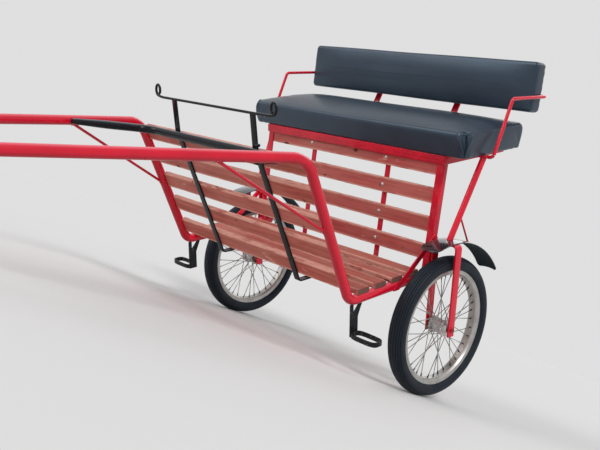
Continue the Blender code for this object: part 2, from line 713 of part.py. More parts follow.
def arm(name, side, level, lean, paint):
    """Bent rod from the carrier's end up, back and round behind the back board."""
    carrier_mid = SEAT_TOP_Z - ANGLE_WIDE - GAP - CARRIER_THICK / 2.0
    off = BACK_CUSHION_THICK + 2.0 * GAP + BACK_BOARD_THICK + ARM_RADIUS
    high = (ARM_TOP_Z - BACK_BOTTOM_Z) / math.cos(BACK_LEAN)
    behind = lean @ Vector((0.0, off, high))
    x = side * ARM_X
    points = [(side * (CARRIER_HALF + GAP), carrier_y(), carrier_mid),
              (x, carrier_y(), carrier_mid),
              (x, ARM_BEND_Y, ARM_TOP_Z), (x, behind.y, behind.z),
              (side * ARM_HOOK_X, behind.y, behind.z)]
    first = ARM_X - CARRIER_HALF - 2.0 * GAP
    bm = sweep(rounded(points, [first * 0.9, ARM_BEND, ARM_BEND * 0.8]),
               round_outline(ARM_RADIUS, 10), Vector((side * 0.3, 0.4, 0.85)))
    return finish(name, bm, level, paint)


def wheel_x(side):
    """Middle plane of a wheel."""
    return side * WHEEL_HALF_TRACK


def fork_half():
    """Wheel middle to the middle of a fork leg's thickness."""
    return WHEEL_HALF_TRACK - FRAME_HALF - TUBE_RADIUS - GAP - FORK_THICK / 2.0


def crown_z():
    """Middle of the fork crown, just under the mudguard."""
    inner = GUARD_RADIUS - GUARD_CROWN - GUARD_THICK / 2.0
    rise = math.sqrt(inner ** 2 - (FORK_LEAN + FORK_WIDE / 2.0) ** 2)
    return WHEEL_RADIUS + rise - GAP - FORK_THICK / 2.0


def fork(name, side, level, paint):
    """Inverted U of flat bar around the wheel, bored for the axle."""
    half = fork_half()
    top = crown_z()
    slope = FORK_LEAN / (top - WHEEL_RADIUS)
    low = WHEEL_RADIUS - FORK_BELOW
    low_y = -slope * FORK_BELOW
    x = wheel_x(side)
    points = [(x - half, low_y, low), (x - half, FORK_LEAN, top),
              (x + half, FORK_LEAN, top), (x + half, low_y, low)]
    bm = sweep(rounded(points, FORK_BEND, 4), flat_outline(FORK_WIDE, FORK_THICK), BACK)
    made = finish(name, bm, level, paint)
    bm = bmesh.new()
    reach = 2.0 * (half + FORK_THICK + OVERRUN)
    bmesh.ops.create_cone(bm, cap_ends=True, segments=16, radius1=AXLE_RADIUS + GAP,
                          radius2=AXLE_RADIUS + GAP, depth=reach)
    bm.transform(Matrix.Translation((x, 0.0, WHEEL_RADIUS)) @ Matrix.Rotation(
        math.radians(90.0), 4, "Y"))
    boolean(made, cutter("cut_axle_" + name, bm, level))
    return made


def axle(name, side, level, paint):
    """Wheel spindle through the fork, with its nut outside the outer leg."""
    nut_in = fork_half() + FORK_THICK / 2.0 + GAP
    nut_out = nut_in + NUT_THICK
    end = nut_out + AXLE_STUB
    frame_end = nut_in - FORK_THICK - GAP
    profile = [(-frame_end, 0.0), (-frame_end, AXLE_RADIUS), (nut_in, AXLE_RADIUS),
               (nut_in, NUT_RADIUS), (nut_out, NUT_RADIUS), (nut_out, AXLE_RADIUS),
               (end, AXLE_RADIUS), (end, 0.0)]
    bm = revolve([(side * a, r) for a, r in profile], 12, False)
    bm.transform(Matrix.Translation((wheel_x(side), 0.0, WHEEL_RADIUS)))
    return finish(name, bm, level, paint)


def guard_ring(radius, share):
    """Radius of the guard's outer face at a share of its half width."""
    return radius - GUARD_CROWN * share * share


def mudguard(name, side, level, paint):
    """Short curved strip over the wheel, slightly crowned across."""
    bm = bmesh.new()
    steps = 14
    shares = (-1.0, -0.5, 0.0, 0.5, 1.0)
    rings = []
    for k in range(steps + 1):
        angle = GUARD_FRONT + (GUARD_REAR - GUARD_FRONT) * k / steps
        ring = []
        for thick, order in ((GUARD_THICK / 2.0, shares), (-GUARD_THICK / 2.0, shares[::-1])):
            for share in order:
                r = guard_ring(GUARD_RADIUS, share) + thick
                ring.append(bm.verts.new((wheel_x(side) + share * GUARD_WIDE / 2.0,
                                          r * math.sin(angle), WHEEL_RADIUS + r * math.cos(angle))))
        rings.append(ring)
    count = len(rings[0])
    for one, two in zip(rings, rings[1:]):
        for k in range(count):
            bm.faces.new((one[k], one[(k + 1) % count], two[(k + 1) % count], two[k]))
    bm.faces.new(rings[0])
    bm.faces.new(rings[-1])
    return finish(name, bm, level, paint)


def guard_top(y, radius_out):
    """Height of the guard's outer face above the wheel's middle plane."""
    return WHEEL_RADIUS + math.sqrt(radius_out ** 2 - y ** 2)


def strut(name, side, level, paint):
    """Tube from the fork crown, through the guard's top, up to the arm carrier."""
    out = GUARD_RADIUS + GUARD_THICK / 2.0 + GAP
    foot = Vector((wheel_x(side), STRUT_FOOT_Y, guard_top(STRUT_FOOT_Y, out)))
    normal = Vector((0.0, foot.y, foot.z - WHEEL_RADIUS)).normalized()
    top_z = SEAT_TOP_Z - ANGLE_WIDE - 2.0 * GAP - CARRIER_THICK
    top = Vector((side * STRUT_TOP_X, carrier_y(), top_z))
    bm = sweep([foot, top], round_outline(STRUT_RADIUS, TUBE_SIDES), ACROSS,
               (foot, normal), (top, UP))
    return finish(name, bm, level, paint)


def guard_stay(name, side, level, paint):
    """Thin rod from the strut down to the rear of the guard."""
    out = GUARD_RADIUS + GUARD_THICK / 2.0 + GAP
    x = wheel_x(side)
    foot = Vector((x, STAY_FOOT_Y, guard_top(STAY_FOOT_Y, out)))
    foot_normal = Vector((0.0, foot.y, foot.z - WHEEL_RADIUS)).normalized()
    strut_foot = Vector((x, STRUT_FOOT_Y, guard_top(STRUT_FOOT_Y, out)))
    strut_top = Vector((side * STRUT_TOP_X, carrier_y(), SEAT_TOP_Z - ANGLE_WIDE - CARRIER_THICK))
    on_strut = strut_foot.lerp(strut_top, STAY_TOP_SHARE)
    strut_dir = (strut_top - strut_foot).normalized()
    away = (foot - on_strut) - strut_dir * (foot - on_strut).dot(strut_dir)
    away.normalize()
    end = (on_strut + away * (STRUT_RADIUS + GAP), away)
    bm = sweep([foot, on_strut], round_outline(STAY_RADIUS, 6), ACROSS,
               (foot, foot_normal), end)
    return finish(name, bm, level, paint)


def side_brace(name, side, level, paint):
    """Flat bar on edge from the floor rail to the post, notched around the fork's inner leg."""
    a = Vector((0.0, SIDE_BRACE_FOOT_Y, SIDE_BRACE_FOOT_Z))
    b = Vector((0.0, SIDE_BRACE_TOP_Y, SIDE_BRACE_TOP_Z))
    along = (b - a).normalized()
    down = Vector((0.0, along.z, -along.y))
    slope = FORK_LEAN / (crown_z() - WHEEL_RADIUS)
    clear = FORK_WIDE / 2.0 * math.hypot(1.0, slope) + GAP
    crown = crown_z() + FORK_THICK / 2.0 + GAP
    f = a + down * SIDE_BRACE_WIDE
    reach = (slope * (f.z - WHEEL_RADIUS) - clear - f.y) / (along.y - slope * along.z)
    e = f + along * reach
    d = Vector((0.0, slope * (crown - WHEEL_RADIUS) - clear, crown))
    c = b + down * ((b.z - crown) / along.y)
    inner = side * (FRAME_HALF + TUBE_RADIUS + GAP)
    bm = bmesh.new()
    faces = []
    for x in (inner, inner + side * SIDE_BRACE_THICK):
        ring = [bm.verts.new((x, p.y, p.z)) for p in (a, b, c, d, e, f)]
        faces.append(ring)
        bm.faces.new(ring)
    for k in range(6):
        bm.faces.new((faces[0][k], faces[0][(k + 1) % 6], faces[1][(k + 1) % 6], faces[1][k]))
    return finish(name, bm, level, paint, smooth=False)


def step(name, side, level, paint):
    """Two-pronged hanger below the floor rail with a loop of flat bar as its tread."""
    x = side * FRAME_HALF
    top_z = FLOOR_TUBE_Z - TUBE_RADIUS - GAP
    low_z = STEP_Z - STEP_BAND / 2.0
    front = STEP_Y - STEP_WIDE / 2.0
    rear = STEP_Y + STEP_WIDE / 2.0
    splay = front + STEP_FORK_WIDE
    crotch = top_z - STEP_FORK_DROP
    outline = [(front, low_z), (rear, low_z), (rear, crotch - STEP_PRONG), (splay, top_z),
               (splay - STEP_PRONG, top_z), (front + STEP_PRONG, crotch),
               (front + STEP_PRONG, top_z), (front, top_z)]
    bm = bmesh.new()
    faces = []
    for offset in (-STEP_THICK / 2.0, STEP_THICK / 2.0):
        ring = [bm.verts.new((x + offset, y, z)) for y, z in outline]
        faces.append(ring)
        bm.faces.new(ring)
    count = len(outline)
    for k in range(count):
        bm.faces.new((faces[0][k], faces[0][(k + 1) % count],
                      faces[1][(k + 1) % count], faces[1][k]))
    made = finish(name, bm, level, paint, smooth=False)
    middle_x = x + side * STEP_REACH / 2.0
    a = STEP_REACH / 2.0
    b = STEP_DEEP / 2.0
    loop = squared_loop(24, 0.6)
    ring = bmesh.new()
    layers = []
    for inset, z in ((0.0, -0.5), (0.0, 0.5), (STEP_THICK, 0.5), (STEP_THICK, -0.5)):
        layers.append([ring.verts.new((middle_x + (a - inset) * c, STEP_Y + (b - inset) * s,
                                       STEP_Z + z * STEP_BAND)) for c, s in loop])
    for one, two in zip(layers, layers[1:] + layers[:1]):
        for k in range(len(loop)):
            ring.faces.new((one[k], one[(k + 1) % len(loop)], two[(k + 1) % len(loop)], two[k]))
    boolean(made, cutter("join_" + name, ring, level), "UNION")
    return made


def tyre_profile():
    """Section of the tyre: round tread, straight sides, beads on the rim."""
    half = TYRE_SECTION / 2.0
    top = WHEEL_RADIUS
    belly = WHEEL_RADIUS - TYRE_DEPTH * 0.46
    low = RIM_BED + GAP
    bead = RIM_WIDE / 2.0 - RIM_WALL - GAP
    points = []
    for k in range(7):
        angle = math.pi * (k / 6.0 - 0.5)
        points.append((half * math.sin(angle), belly + (top - belly) * math.cos(angle)))
    lip = RIM_RADIUS + GAP
    points += [(half * 0.93, lip + RIM_WALL), (bead, lip), (bead, low)]
    points += [(-bead, low), (-bead, lip), (-half * 0.93, lip + RIM_WALL)]
    return points


def tyre(name, hub, paint):
    """Tyre as one turned ring."""
    return finish(name, revolve(tyre_profile(), WHEEL_STEPS, True), hub, paint)


def spoke_family(flange, lean, start):
    """Nine straight spokes from one flange, all leaning the same way."""
    bm = bmesh.new()
    count = SPOKES // 4
    radius_in = HUB_FLANGE - HUB_FLANGE_THICK
    for k in range(count):
        at = 2.0 * math.pi * (k + start) / count
        hub_at = at + lean * SPOKE_SWEEP
        near = Vector((flange * (HUB_FLANGE_X + lean * SPOKE_RADIUS), radius_in * math.sin(hub_at),
                       radius_in * math.cos(hub_at)))
        far_r = RIM_INNER + RIM_WALL / 2.0
        far = Vector((flange * RIM_WALL, far_r * math.sin(at), far_r * math.cos(at)))
        one = sweep([near, far], round_outline(SPOKE_RADIUS, 6), ACROSS)
        mesh = bpy.data.meshes.new("spoke")
        one.to_mesh(mesh)
        one.free()
        bm.from_mesh(mesh)
        bpy.data.meshes.remove(mesh)
    return bm


def wheel(name, hub, paint):
    """Rim, spokes and hub joined in one piece that turns on the axle."""
    w = RIM_WIDE / 2.0
    wall = RIM_WALL
    rim = [(-w, RIM_RADIUS), (-w, RIM_BED - wall), (-w / 2.0, RIM_INNER), (w / 2.0, RIM_INNER),
           (w, RIM_BED - wall), (w, RIM_RADIUS), (w - wall, RIM_RADIUS), (w - wall, RIM_BED),
           (-w + wall, RIM_BED), (-w + wall, RIM_RADIUS)]
    made = finish(name, revolve(rim, WHEEL_STEPS, True), hub, paint)
    bore = AXLE_RADIUS + BORE_CLEAR
    f, t, h = HUB_FLANGE_X, HUB_FLANGE_THICK / 2.0, HUB_HALF
    body = [(-h, bore), (-h, HUB_BARREL * 0.8), (-f - t, HUB_BARREL), (-f - t, HUB_FLANGE),
            (-f + t, HUB_FLANGE), (-f + t, HUB_BARREL), (0.0, HUB_DRUM), (f - t, HUB_DRUM),
            (f - t, HUB_FLANGE), (f + t, HUB_FLANGE), (f + t, HUB_BARREL), (h, HUB_BARREL * 0.8),
            (h, bore)]
    parts = [cutter("join_hub_" + name, revolve(body, 24, True), hub)]
    for number, (flange, lean) in enumerate(((1, 1), (1, -1), (-1, 1), (-1, -1))):
        start = 0.25 * number
        parts.append(cutter("join_spokes_%d_%s" % (number, name),
                            spoke_family(flange, lean, start), hub))
    for piece in parts:
        boolean(made, piece, "UNION")
    return made


def build():
    """Make the whole cart."""
    for old in list(bpy.data.objects):
        bpy.data.objects.remove(old, do_unlink=True)
    paints = {
        "red": material("red_paint", (0.62, 0.012, 0.035), 0.30, coat=0.4),
        "black": material("black_paint", (0.012, 0.013, 0.017), 0.25, coat=0.5),
        "wood": material("stained_wood", (0.36, 0.075, 0.050), 0.60),
        "board": material("seat_board", (0.05, 0.04, 0.035), 0.70),
        "vinyl": material("black_vinyl", (0.020, 0.024, 0.032), 0.35),
        "rubber": material("rubber", (0.025, 0.026, 0.030), 0.80),
        "steel": material("wheel_steel", (0.50, 0.49, 0.47), 0.38, metallic=0.9),
    }
    turn = park_angle()
    tip = tip_centre(1.0)
    ahead = (-tip.y * math.cos(turn) + (tip.z - WHEEL_RADIUS) * math.sin(turn) + TUBE_RADIUS)
    centre_y = (WHEEL_RADIUS - ahead) / 2.0

    cart = bpy.data.objects.new("cart_on_axle", None)
    cart.location = (0.0, -centre_y, WHEEL_RADIUS)
    cart.rotation_euler = (turn, 0.0, 0.0)
    level = bpy.data.objects.new("level_ground", None)
    level.parent = cart
    level.location = (0.0, 0.0, -WHEEL_RADIUS)
    for empty in (cart, level):
        bpy.context.scene.collection.objects.link(empty)

    for word, side in SIDES:
        side_tube("side_tube_" + word, side, level, paints["red"])
        brace_rod("brace_rod_" + word, side, level, paints["red"])
        upright("dash_upright_" + word, side, level, paints["black"])
        post("seat_post_" + word, side, level, paints["red"])
        side_brace("side_brace_" + word, side, level, paints["red"])
        fork("fork_" + word, side, level, paints["red"])
        axle("axle_" + word, side, level, paints["steel"])
        mudguard("mudguard_" + word, side, level, paints["black"])
        strut("strut_" + word, side, level, paints["red"])
        guard_stay("guard_stay_" + word, side, level, paints["red"])
        step("step_" + word, side, level, paints["black"])
    cross_bar(level, paints["black"])
    rein_rail(level, paints["black"])
    dash(level, paints)
    floor(level, paints)
    panel(level, paints)
    seat_frame(level, paints["red"])
    carrier(level, paints["red"])
    seat(level, paints)
    lean = back_rest(level, paints)
    for word, side in SIDES:
        arm("arm_rail_" + word, side, level, lean, paints["red"])
        hub = bpy.data.objects.new("hub_" + word, None)
        hub.location = (wheel_x(side), -centre_y, WHEEL_RADIUS)
        bpy.context.scene.collection.objects.link(hub)
        tyre("tyre_" + word, hub, paints["rubber"])
        wheel("wheel_" + word, hub, paints["steel"])


build()
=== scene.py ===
"""Dressed road cart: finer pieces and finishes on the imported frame.

Shapes are worked out for the cart standing level, in metres, x to its left, shafts to -y, z from
the ground and the axle at y = 0. parked() then turns them nose down about the axle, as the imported
frame stands. The wheels' pieces are made round the parked axle and aren't turned.
"""

import math

import bmesh
import bpy
import numpy as np
from mathutils import Euler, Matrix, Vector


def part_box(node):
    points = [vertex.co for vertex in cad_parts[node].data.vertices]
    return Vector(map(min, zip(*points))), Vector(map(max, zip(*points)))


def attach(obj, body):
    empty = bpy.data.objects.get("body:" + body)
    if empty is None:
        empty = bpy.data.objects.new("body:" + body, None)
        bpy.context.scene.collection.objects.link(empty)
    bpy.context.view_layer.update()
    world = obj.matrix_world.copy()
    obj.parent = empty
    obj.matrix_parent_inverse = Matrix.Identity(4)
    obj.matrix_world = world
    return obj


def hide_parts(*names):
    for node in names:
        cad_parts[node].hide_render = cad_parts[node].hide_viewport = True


bl_info = {
    "name": "Road Cart Dresser",
    "version": (1, 0, 0),
    "blender": (4, 5, 0),
    "location": "View3D > Sidebar > Cart",
    "description": "Builds the road cart's finer pieces and finishes over its frame",
    "category": "Object",
}

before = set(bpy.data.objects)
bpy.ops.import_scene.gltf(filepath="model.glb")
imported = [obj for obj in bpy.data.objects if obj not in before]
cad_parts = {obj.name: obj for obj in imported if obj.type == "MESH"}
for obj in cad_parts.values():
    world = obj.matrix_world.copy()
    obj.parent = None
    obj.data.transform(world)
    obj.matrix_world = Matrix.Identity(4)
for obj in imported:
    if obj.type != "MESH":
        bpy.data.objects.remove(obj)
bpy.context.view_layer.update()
TYRE_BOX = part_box("tyre_left")

PARK_ANGLE = math.radians(27.76745246)
AXLE_Y = (TYRE_BOX[0].y + TYRE_BOX[1].y) / 2.0
WHEEL_RADIUS = 0.280
FRAME_HALF = 0.500
HALF_TRACK = 0.576
GAP = 0.0003
PAINT = 0.0008
WELD = 0.0030
BOLT = (0.0075, 0.005)
SHARP_ANGLE = math.radians(38.0)
BEVEL_ANGLE = math.radians(40.0)
BAR_BEVEL = 0.0008
SIDES = (("left", 1.0), ("right", -1.0))
ACROSS = np.array((1.0, 0.0, 0.0))
BACK = np.array((0.0, 1.0, 0.0))
UP = np.array((0.0, 0.0, 1.0))

# Side tubes and hoop
TUBE_RADIUS = 0.018
FLOOR_TUBE_Z = 0.475
LEG_FOOT_Y = -0.431
LEG_TOP_Y = -0.632
LEG_TOP_Z = 1.020
FLOOR_TUBE_END_Y = 0.052
SHAFT_RISE = 0.140
SHAFT_CONVERGE = 0.156
SHAFT_TAPER_LENGTH = 1.050
SHAFT_TIP = 0.660
TIP_RISE = 0.050
SHAFT_BENDS = (1.200, 0.095, 0.045)
BAR_RADIUS = 0.016
BAR_Z = LEG_TOP_Z - 0.0135
BAR_REACH = 0.330
BAR_BEND = 0.070
HOOP_TAPER = 0.170
HOOP_THIN = 0.74
HOOP_TIP = 0.62
BRACE_RADIUS = 0.0055
BRACE_REACH = 0.345
BRACE_FOOT_Z = 0.740

# Dash and floor; lugs hold height and direction, waves and bows count, height and speed
SLAT_THICK = 0.018
DASH_WIDE = 0.064
DASH_PITCH = 0.115
DASH_SLATS = 5
DASH_FIRST_Z = LEG_TOP_Z - 0.041
DASH_TOP_DROP = 0.006
UPRIGHT_X = FRAME_HALF * 0.470
UPRIGHT_WIDE = 0.028
UPRIGHT_THICK = 0.006
UPRIGHT_TOP_Z = LEG_TOP_Z + 0.110
UPRIGHT_LEAN = 0.010
UPRIGHT_BEND_Z = LEG_TOP_Z - TUBE_RADIUS / 2.0
UPRIGHT_FOOT = 0.062
LUGS = ((BAR_Z + 0.020, 1.0), (BAR_Z - 0.052, -1.0))
LUG_RADIUS = 0.0062
RAIL_RADIUS = 0.0050
RAIL_HALF = FRAME_HALF * 0.664
SCROLL_WIDE = 0.030
SCROLL_HIGH = 0.044
SCROLL_TURN = math.radians(335.0)
SCROLL_SHRINK = 0.22
SCROLL_OUT = 0.012
SCROLL_RISE = 0.0045
FLOOR_THICK = 0.020
FLOOR_WIDE = 0.060
FLOOR_PITCH = 0.090
FLOOR_SLATS = 4
FLOOR_FIRST_Y = -0.368
FLOOR_HALF = FRAME_HALF + 0.014
STRAP_THICK = 0.006
STRAP_WIDE = 0.024
STRAP_X = FRAME_HALF * 0.436
STRAP_FRONT_Y = -0.372
STRAP_REAR_Y = -0.072
STRAP_LOW_Z = 0.474
CLEAT_WIDE = 0.026
CLEAT_THICK = 0.004
SLAT_WAVES = (4, 0.0005, 16.0)
SLAT_BOWS = (3, 0.0004, 9.0)
SLAT_STATIONS = 95
DENTS = 6
DENT_WIDE = 0.009
DENT_DEEP = (0.0016, 0.0014)
BOLT_HEAD_HIGH = 0.0032

# Seat frame, panel and seat
SEAT_HALF = FRAME_HALF + TUBE_RADIUS
SEAT_FRONT_Y = 0.066
SEAT_TOP_Z = 0.932
SEAT_DEPTH = 0.390
ANGLE_WIDE = 0.034
ANGLE_THICK = 0.004
POST_WIDE = 0.030
POST_HALF = SEAT_HALF - 0.009
POST_LEAN = 0.165
PANEL_WIDE = 0.060
PANEL_PITCH = 0.1105
PANEL_SLATS = 4
PANEL_FIRST_Z = SEAT_TOP_Z - 0.047
BOARD_THICK = 0.012
BOARD_HALF = SEAT_HALF + 0.082
BOARD_FRONT_Y = 0.064
BOARD_REAR_SHORT = 0.006
BOARD_TRIM = 0.007
BOARD_EASE = 0.0015
COVER_TUCK = 0.0065
CUSHION_BULGE = 0.016
CUSHION_EDGE = 0.088
CUSHION_CROWN = 0.026
SEAT_ROUND = 0.022
PLEAT_WIDE = 0.029
PLEAT_HIGH = 0.082
PLEAT_DEEP = 0.0125
COVER_STEP = 0.0026
COVER_WAVES = 7
COVER_UNEVEN = 0.00040
GATHER_LONG = (0.031, 0.047)
GATHER_HIGH = 0.011
GATHER_DEEP = 0.0006
BACK_HALF = BOARD_HALF + CUSHION_BULGE + 0.010
BACK_HIGH = 0.198
BACK_BOTTOM_Z = SEAT_TOP_Z + 0.140
BACK_SETBACK = 0.0160
BACK_LEAN = math.radians(9.0)
BACK_THICK = 0.060
BACK_INSET = 0.012
SUPPORT_X = FRAME_HALF * 0.452
SUPPORT_WIDE = 0.030
SUPPORT_THICK = 0.008
SUPPORT_TOP = 0.150
SUPPORT_BOLTS = (0.045, 0.125)
CARRIER_WIDE = 0.030
CARRIER_THICK = 0.008
ARM_RADIUS = 0.0068
ARM_X = BACK_HALF + 0.0155
CARRIER_HALF = ARM_X - 0.0195
ARM_BEND_Y = 0.290
ARM_TOP_Z = SEAT_TOP_Z + 0.208
ARM_HOOK_X = BACK_HALF - 0.066
ARM_BEND = 0.020

# Wheel carriers and steps
FORK_WIDE = 0.032
FORK_THICK = 0.008
FORK_LEAN = 0.022
FORK_BELOW = 0.028
FORK_BEND = 0.016
GUARD_RADIUS = WHEEL_RADIUS + 0.064
GUARD_THICK = 0.002
GUARD_WIDE = 0.090
GUARD_CROWN = 0.004
GUARD_LIP = 0.0009
GUARD_STATIONS = 95
GUARD_ENDS = (0.034, 0.012)
GUARD_SPAN = (math.radians(-16.5), math.radians(60.0))
STRUT_RADIUS = 0.012
STRUT_TOP_X = HALF_TRACK + 0.024
STRUT_FOOT_Y = 0.036
STAY_RADIUS = 0.0038
STAY_FOOT_Y = 0.150
SIDE_BRACE = ((-0.218, 0.466), (0.017, 0.640))
SIDE_BRACE_WIDE = 0.022
SIDE_BRACE_THICK = 0.005
AXLE_RADIUS = 0.007
NUT_RADIUS = 0.0125
NUT_THICK = 0.010
LOCK_NUT = (NUT_RADIUS, 0.0062)
END_NUT = (0.0105, NUT_THICK * 0.62)
THREADS = 17
THREAD_DEEP = 0.05
DISC_RADIUS = 0.0125
WASHER_RADIUS = 0.0130
STAY_HEAD = (0.0065, 0.0030)
STAY_WELD = 0.0018
STEP_WIDE = 0.038
STEP_THICK = 0.006
STEP_Y = -0.403
STEP_Z = 0.343
STEP_REACH = 0.126
STEP_DEEP = 0.056
STEP_BAND = 0.018
STEP_FORK = 0.060
STEP_DROP = 0.034
STEP_PRONG = 0.015

# Wheels; grooves are angles across the tread in degrees, sections hold (x, radius) of one half
TYRE_HALF = 0.0355
TYRE_BELLY = WHEEL_RADIUS - 0.02668
GROOVES = (-60.0, -44.0, -28.0, -10.0, 10.0, 28.0, 44.0, 60.0)
RIM_RADIUS = 0.230
RIM_HALF = 0.024
RIM_BED = 0.217
RIM_INNER = 0.208
HUB_HALF = 0.042
HUB_BARREL = 0.019
HUB_FLANGE = 0.034
HUB_FLANGE_X = 0.027
SPOKES = 36
SPOKE_SWEEP = math.radians(48.0)
SPOKE_CIRCLE = 0.0285
SPOKE_HEAD = (0.0030, 0.0014)
NIPPLE_RADIUS = 0.0027
HUB_SECTION = ((-HUB_HALF, 0.0080), (-HUB_HALF, 0.0150), (-HUB_FLANGE_X - 0.007, HUB_BARREL),
               (-HUB_FLANGE_X - 0.003, HUB_BARREL), (-HUB_FLANGE_X - 0.003, HUB_FLANGE),
               (-HUB_FLANGE_X + 0.003, HUB_FLANGE), (-HUB_FLANGE_X + 0.003, 0.0240),
               (-0.014, 0.0272))
HUB_SWELL = 0.0284
DISC_SECTION = ((-0.0415, 0.0100), (-0.0415, 0.0262), (-0.0355, 0.0262), (-0.0355, 0.0100))
RIM_SECTION = ((RIM_HALF - 0.0030, RIM_RADIUS), (RIM_HALF, RIM_RADIUS),
               (RIM_HALF, RIM_RADIUS - 0.0045), (RIM_HALF - 0.0016, RIM_RADIUS - 0.0065),
               (RIM_HALF - 0.0016, 0.2155), (RIM_HALF - 0.0045, 0.2128), (0.0135, 0.2086),
               (0.0090, RIM_INNER))
RIM_BED_ENDS = ((-RIM_HALF + 0.0030, RIM_BED), (RIM_HALF - 0.0030, RIM_BED))
SECTION_EASE = 0.0008

# Stage; lamps hold name, strength, turn and softness in degrees
FLOOR_REACH = 60.0
SKY_LIGHT = 0.44
SKY_SEEN = 0.742
LAMPS = (("key_light", 1.30, (48.0, 0.0, 62.0), 20.0),
         ("fill_light", 1.05, (66.0, 0.0, -28.0), 40.0),
         ("rear_light", 0.45, (48.0, 0.0, 200.0), 40.0))
CAMERA_LENS = 48.6807
CAMERA_PLACE = (2.36854756, -1.5558856, 0.30190109)
CAMERA_TURN = (93.06920396, -20.15712201, 44.25432877)


def vec(*numbers):
    """Row of floats."""
    return np.array(numbers, float)


def unit(rows):
    """Each row divided by its length."""
    return rows / np.linalg.norm(rows, axis=-1, keepdims=True)


def parked(points):
    """Level points turned by the parking angle about the axle line: y and z rotate, x stays."""
    y, z = points[..., 1], points[..., 2] - WHEEL_RADIUS
    c, s = math.cos(PARK_ANGLE), math.sin(PARK_ANGLE)
    return np.stack([points[..., 0], y * c - z * s + AXLE_Y, y * s + z * c + WHEEL_RADIUS], -1)


def leaned(points):
    """Back rest's own coordinates, leant back about its lower front edge, into level ones."""
    c, s = math.cos(BACK_LEAN), math.sin(BACK_LEAN)
    y, z = points[..., 1], points[..., 2]
    return np.stack([points[..., 0], seat_rear() - BACK_SETBACK + y * c + z * s,
                     BACK_BOTTOM_Z - y * s + z * c], -1)


def bent(points, radii, steps=10):
    """Polyline with arcs in its corners: centre + arm cos(a) + (axis x arm) sin(a)."""
    points = [np.array(p, float) for p in points]
    radii = radii if isinstance(radii, (list, tuple)) else [radii] * (len(points) - 2)
    path = [points[0][None]]
    for before, corner, after, bend in zip(points, points[1:], points[2:], radii):
        into, out = unit(corner - before), unit(after - corner)
        turn = math.acos(max(-1.0, min(1.0, float(into @ out))))
        centre = corner + unit(out - into) * bend / math.cos(turn / 2.0)
        arm = corner - into * bend * math.tan(turn / 2.0) - centre
        axis = unit(np.cross(into, out))
        angle = np.linspace(0.0, turn, steps + 1)[:, None]
        path.append(centre + arm * np.cos(angle) + np.cross(axis, arm) * np.sin(angle))
    path.append(points[-1][None])
    return np.vstack(path)


def circle(radius, sides):
    """Outline (r cos a, r sin a)."""
    angle = np.arange(sides) * 2.0 * math.pi / sides
    return radius * np.stack([np.cos(angle), np.sin(angle)], -1)


def eased(corners, radius, steps=3):
    """Closed polygon with each corner replaced by a quadratic curve between points on its sides."""
    corners = np.array(corners, float)
    at = corners[:, None]
    start = at + unit(np.roll(corners, 1, 0) - corners)[:, None] * radius
    end = at + unit(np.roll(corners, -1, 0) - corners)[:, None] * radius
    t = np.linspace(0.0, 1.0, steps + 1)[None, :, None]
    return ((1 - t) ** 2 * start + 2 * t * (1 - t) * at + t ** 2 * end).reshape(-1, 2)


def bar(wide, thick, ease=0.0012):
    """Eased rectangle, the section of a flat bar."""
    a, b = wide / 2.0, thick / 2.0
    return eased([(-a, -b), (a, -b), (a, b), (-a, b)], ease)


def carried(path, outline, side, scale=1.0, planes=(None, None), loop=False):
    """Outline carried along a path: path + scale (u first + v second), first being side made square
    to the path and second their cross product; the ends may be cut by planes."""
    path = np.array(path, float)
    if loop:
        tangent = unit(np.roll(path, -1, 0) - np.roll(path, 1, 0))
    else:
        step = unit(np.diff(path, axis=0))
        tangent = unit(np.vstack([step[:1], step[:-1] + step[1:], step[-1:]]))
    first = unit(side - tangent * (tangent @ np.array(side, float))[:, None])
    second = np.cross(tangent, first)
    size = np.broadcast_to(scale, (len(path),))[:, None, None]
    rings = path[:, None] + size * (outline[None, :, :1] * first[:, None]
                                    + outline[None, :, 1:] * second[:, None])
    for end, plane in zip((0, -1), planes):
        if plane is not None:
            short = (plane[0] - rings[end]) @ plane[1] / (tangent[end] @ plane[1])
            rings[end] += tangent[end] * short[:, None]
    return rings


def turned(profile, angles):
    """Profile of (x, r) turned about X: (x, r sin a, r cos a)."""
    x, r = profile[None, :, 0], profile[None, :, 1]
    a = angles[:, None]
    return np.stack([x + 0.0 * a, r * np.sin(a), r * np.cos(a)], -1)


def skin(rings, wrap=False):
    """Points and quads of a grid whose rows are closed rings; wrap joins the last row to the first,
    or else both ends are capped."""
    rows, count = rings.shape[:2]
    i = np.arange(rows if wrap else rows - 1)[:, None]
    j = np.arange(count)[None, :]
    k, below = (j + 1) % count, (i + 1) % rows
    faces = np.stack([i * count + j, i * count + k, below * count + k, below * count + j], -1)
    faces = faces.reshape(-1, 4).tolist()
    if not wrap:
        faces.append(list(range(count))[::-1])
        faces.append(list(range((rows - 1) * count, rows * count)))
    return rings.reshape(-1, 3), faces


def together(surfaces):
    """One surface out of several, each one's faces counted on from the points before it."""
    points, faces, start = [], [], 0
    for some, quads in surfaces:
        points.append(some)
        faces += [[start + k for k in quad] for quad in quads]
        start += len(some)
    return np.vstack(points), faces


def rod(path, radius, side, sides=20, scale=1.0, planes=(None, None)):
    """Round bar along a path."""
    return skin(carried(path, circle(radius, sides), side, scale, planes))


def strip(path, wide, thick, side, ease=0.0012, planes=(None, None)):
    """Flat bar along a path, its width lying along side."""
    return skin(carried(path, bar(wide, thick, ease), side, planes=planes))


def plate(sides, outline):
    """Flat plate square to x: the outline's (y, z) at two values of x."""
    flat = np.broadcast_to(np.array(outline), (2, len(outline), 2))
    x = np.broadcast_to(np.array(sides)[:, None, None], (2, len(outline), 1))
    return skin(np.concatenate([x, flat], -1))


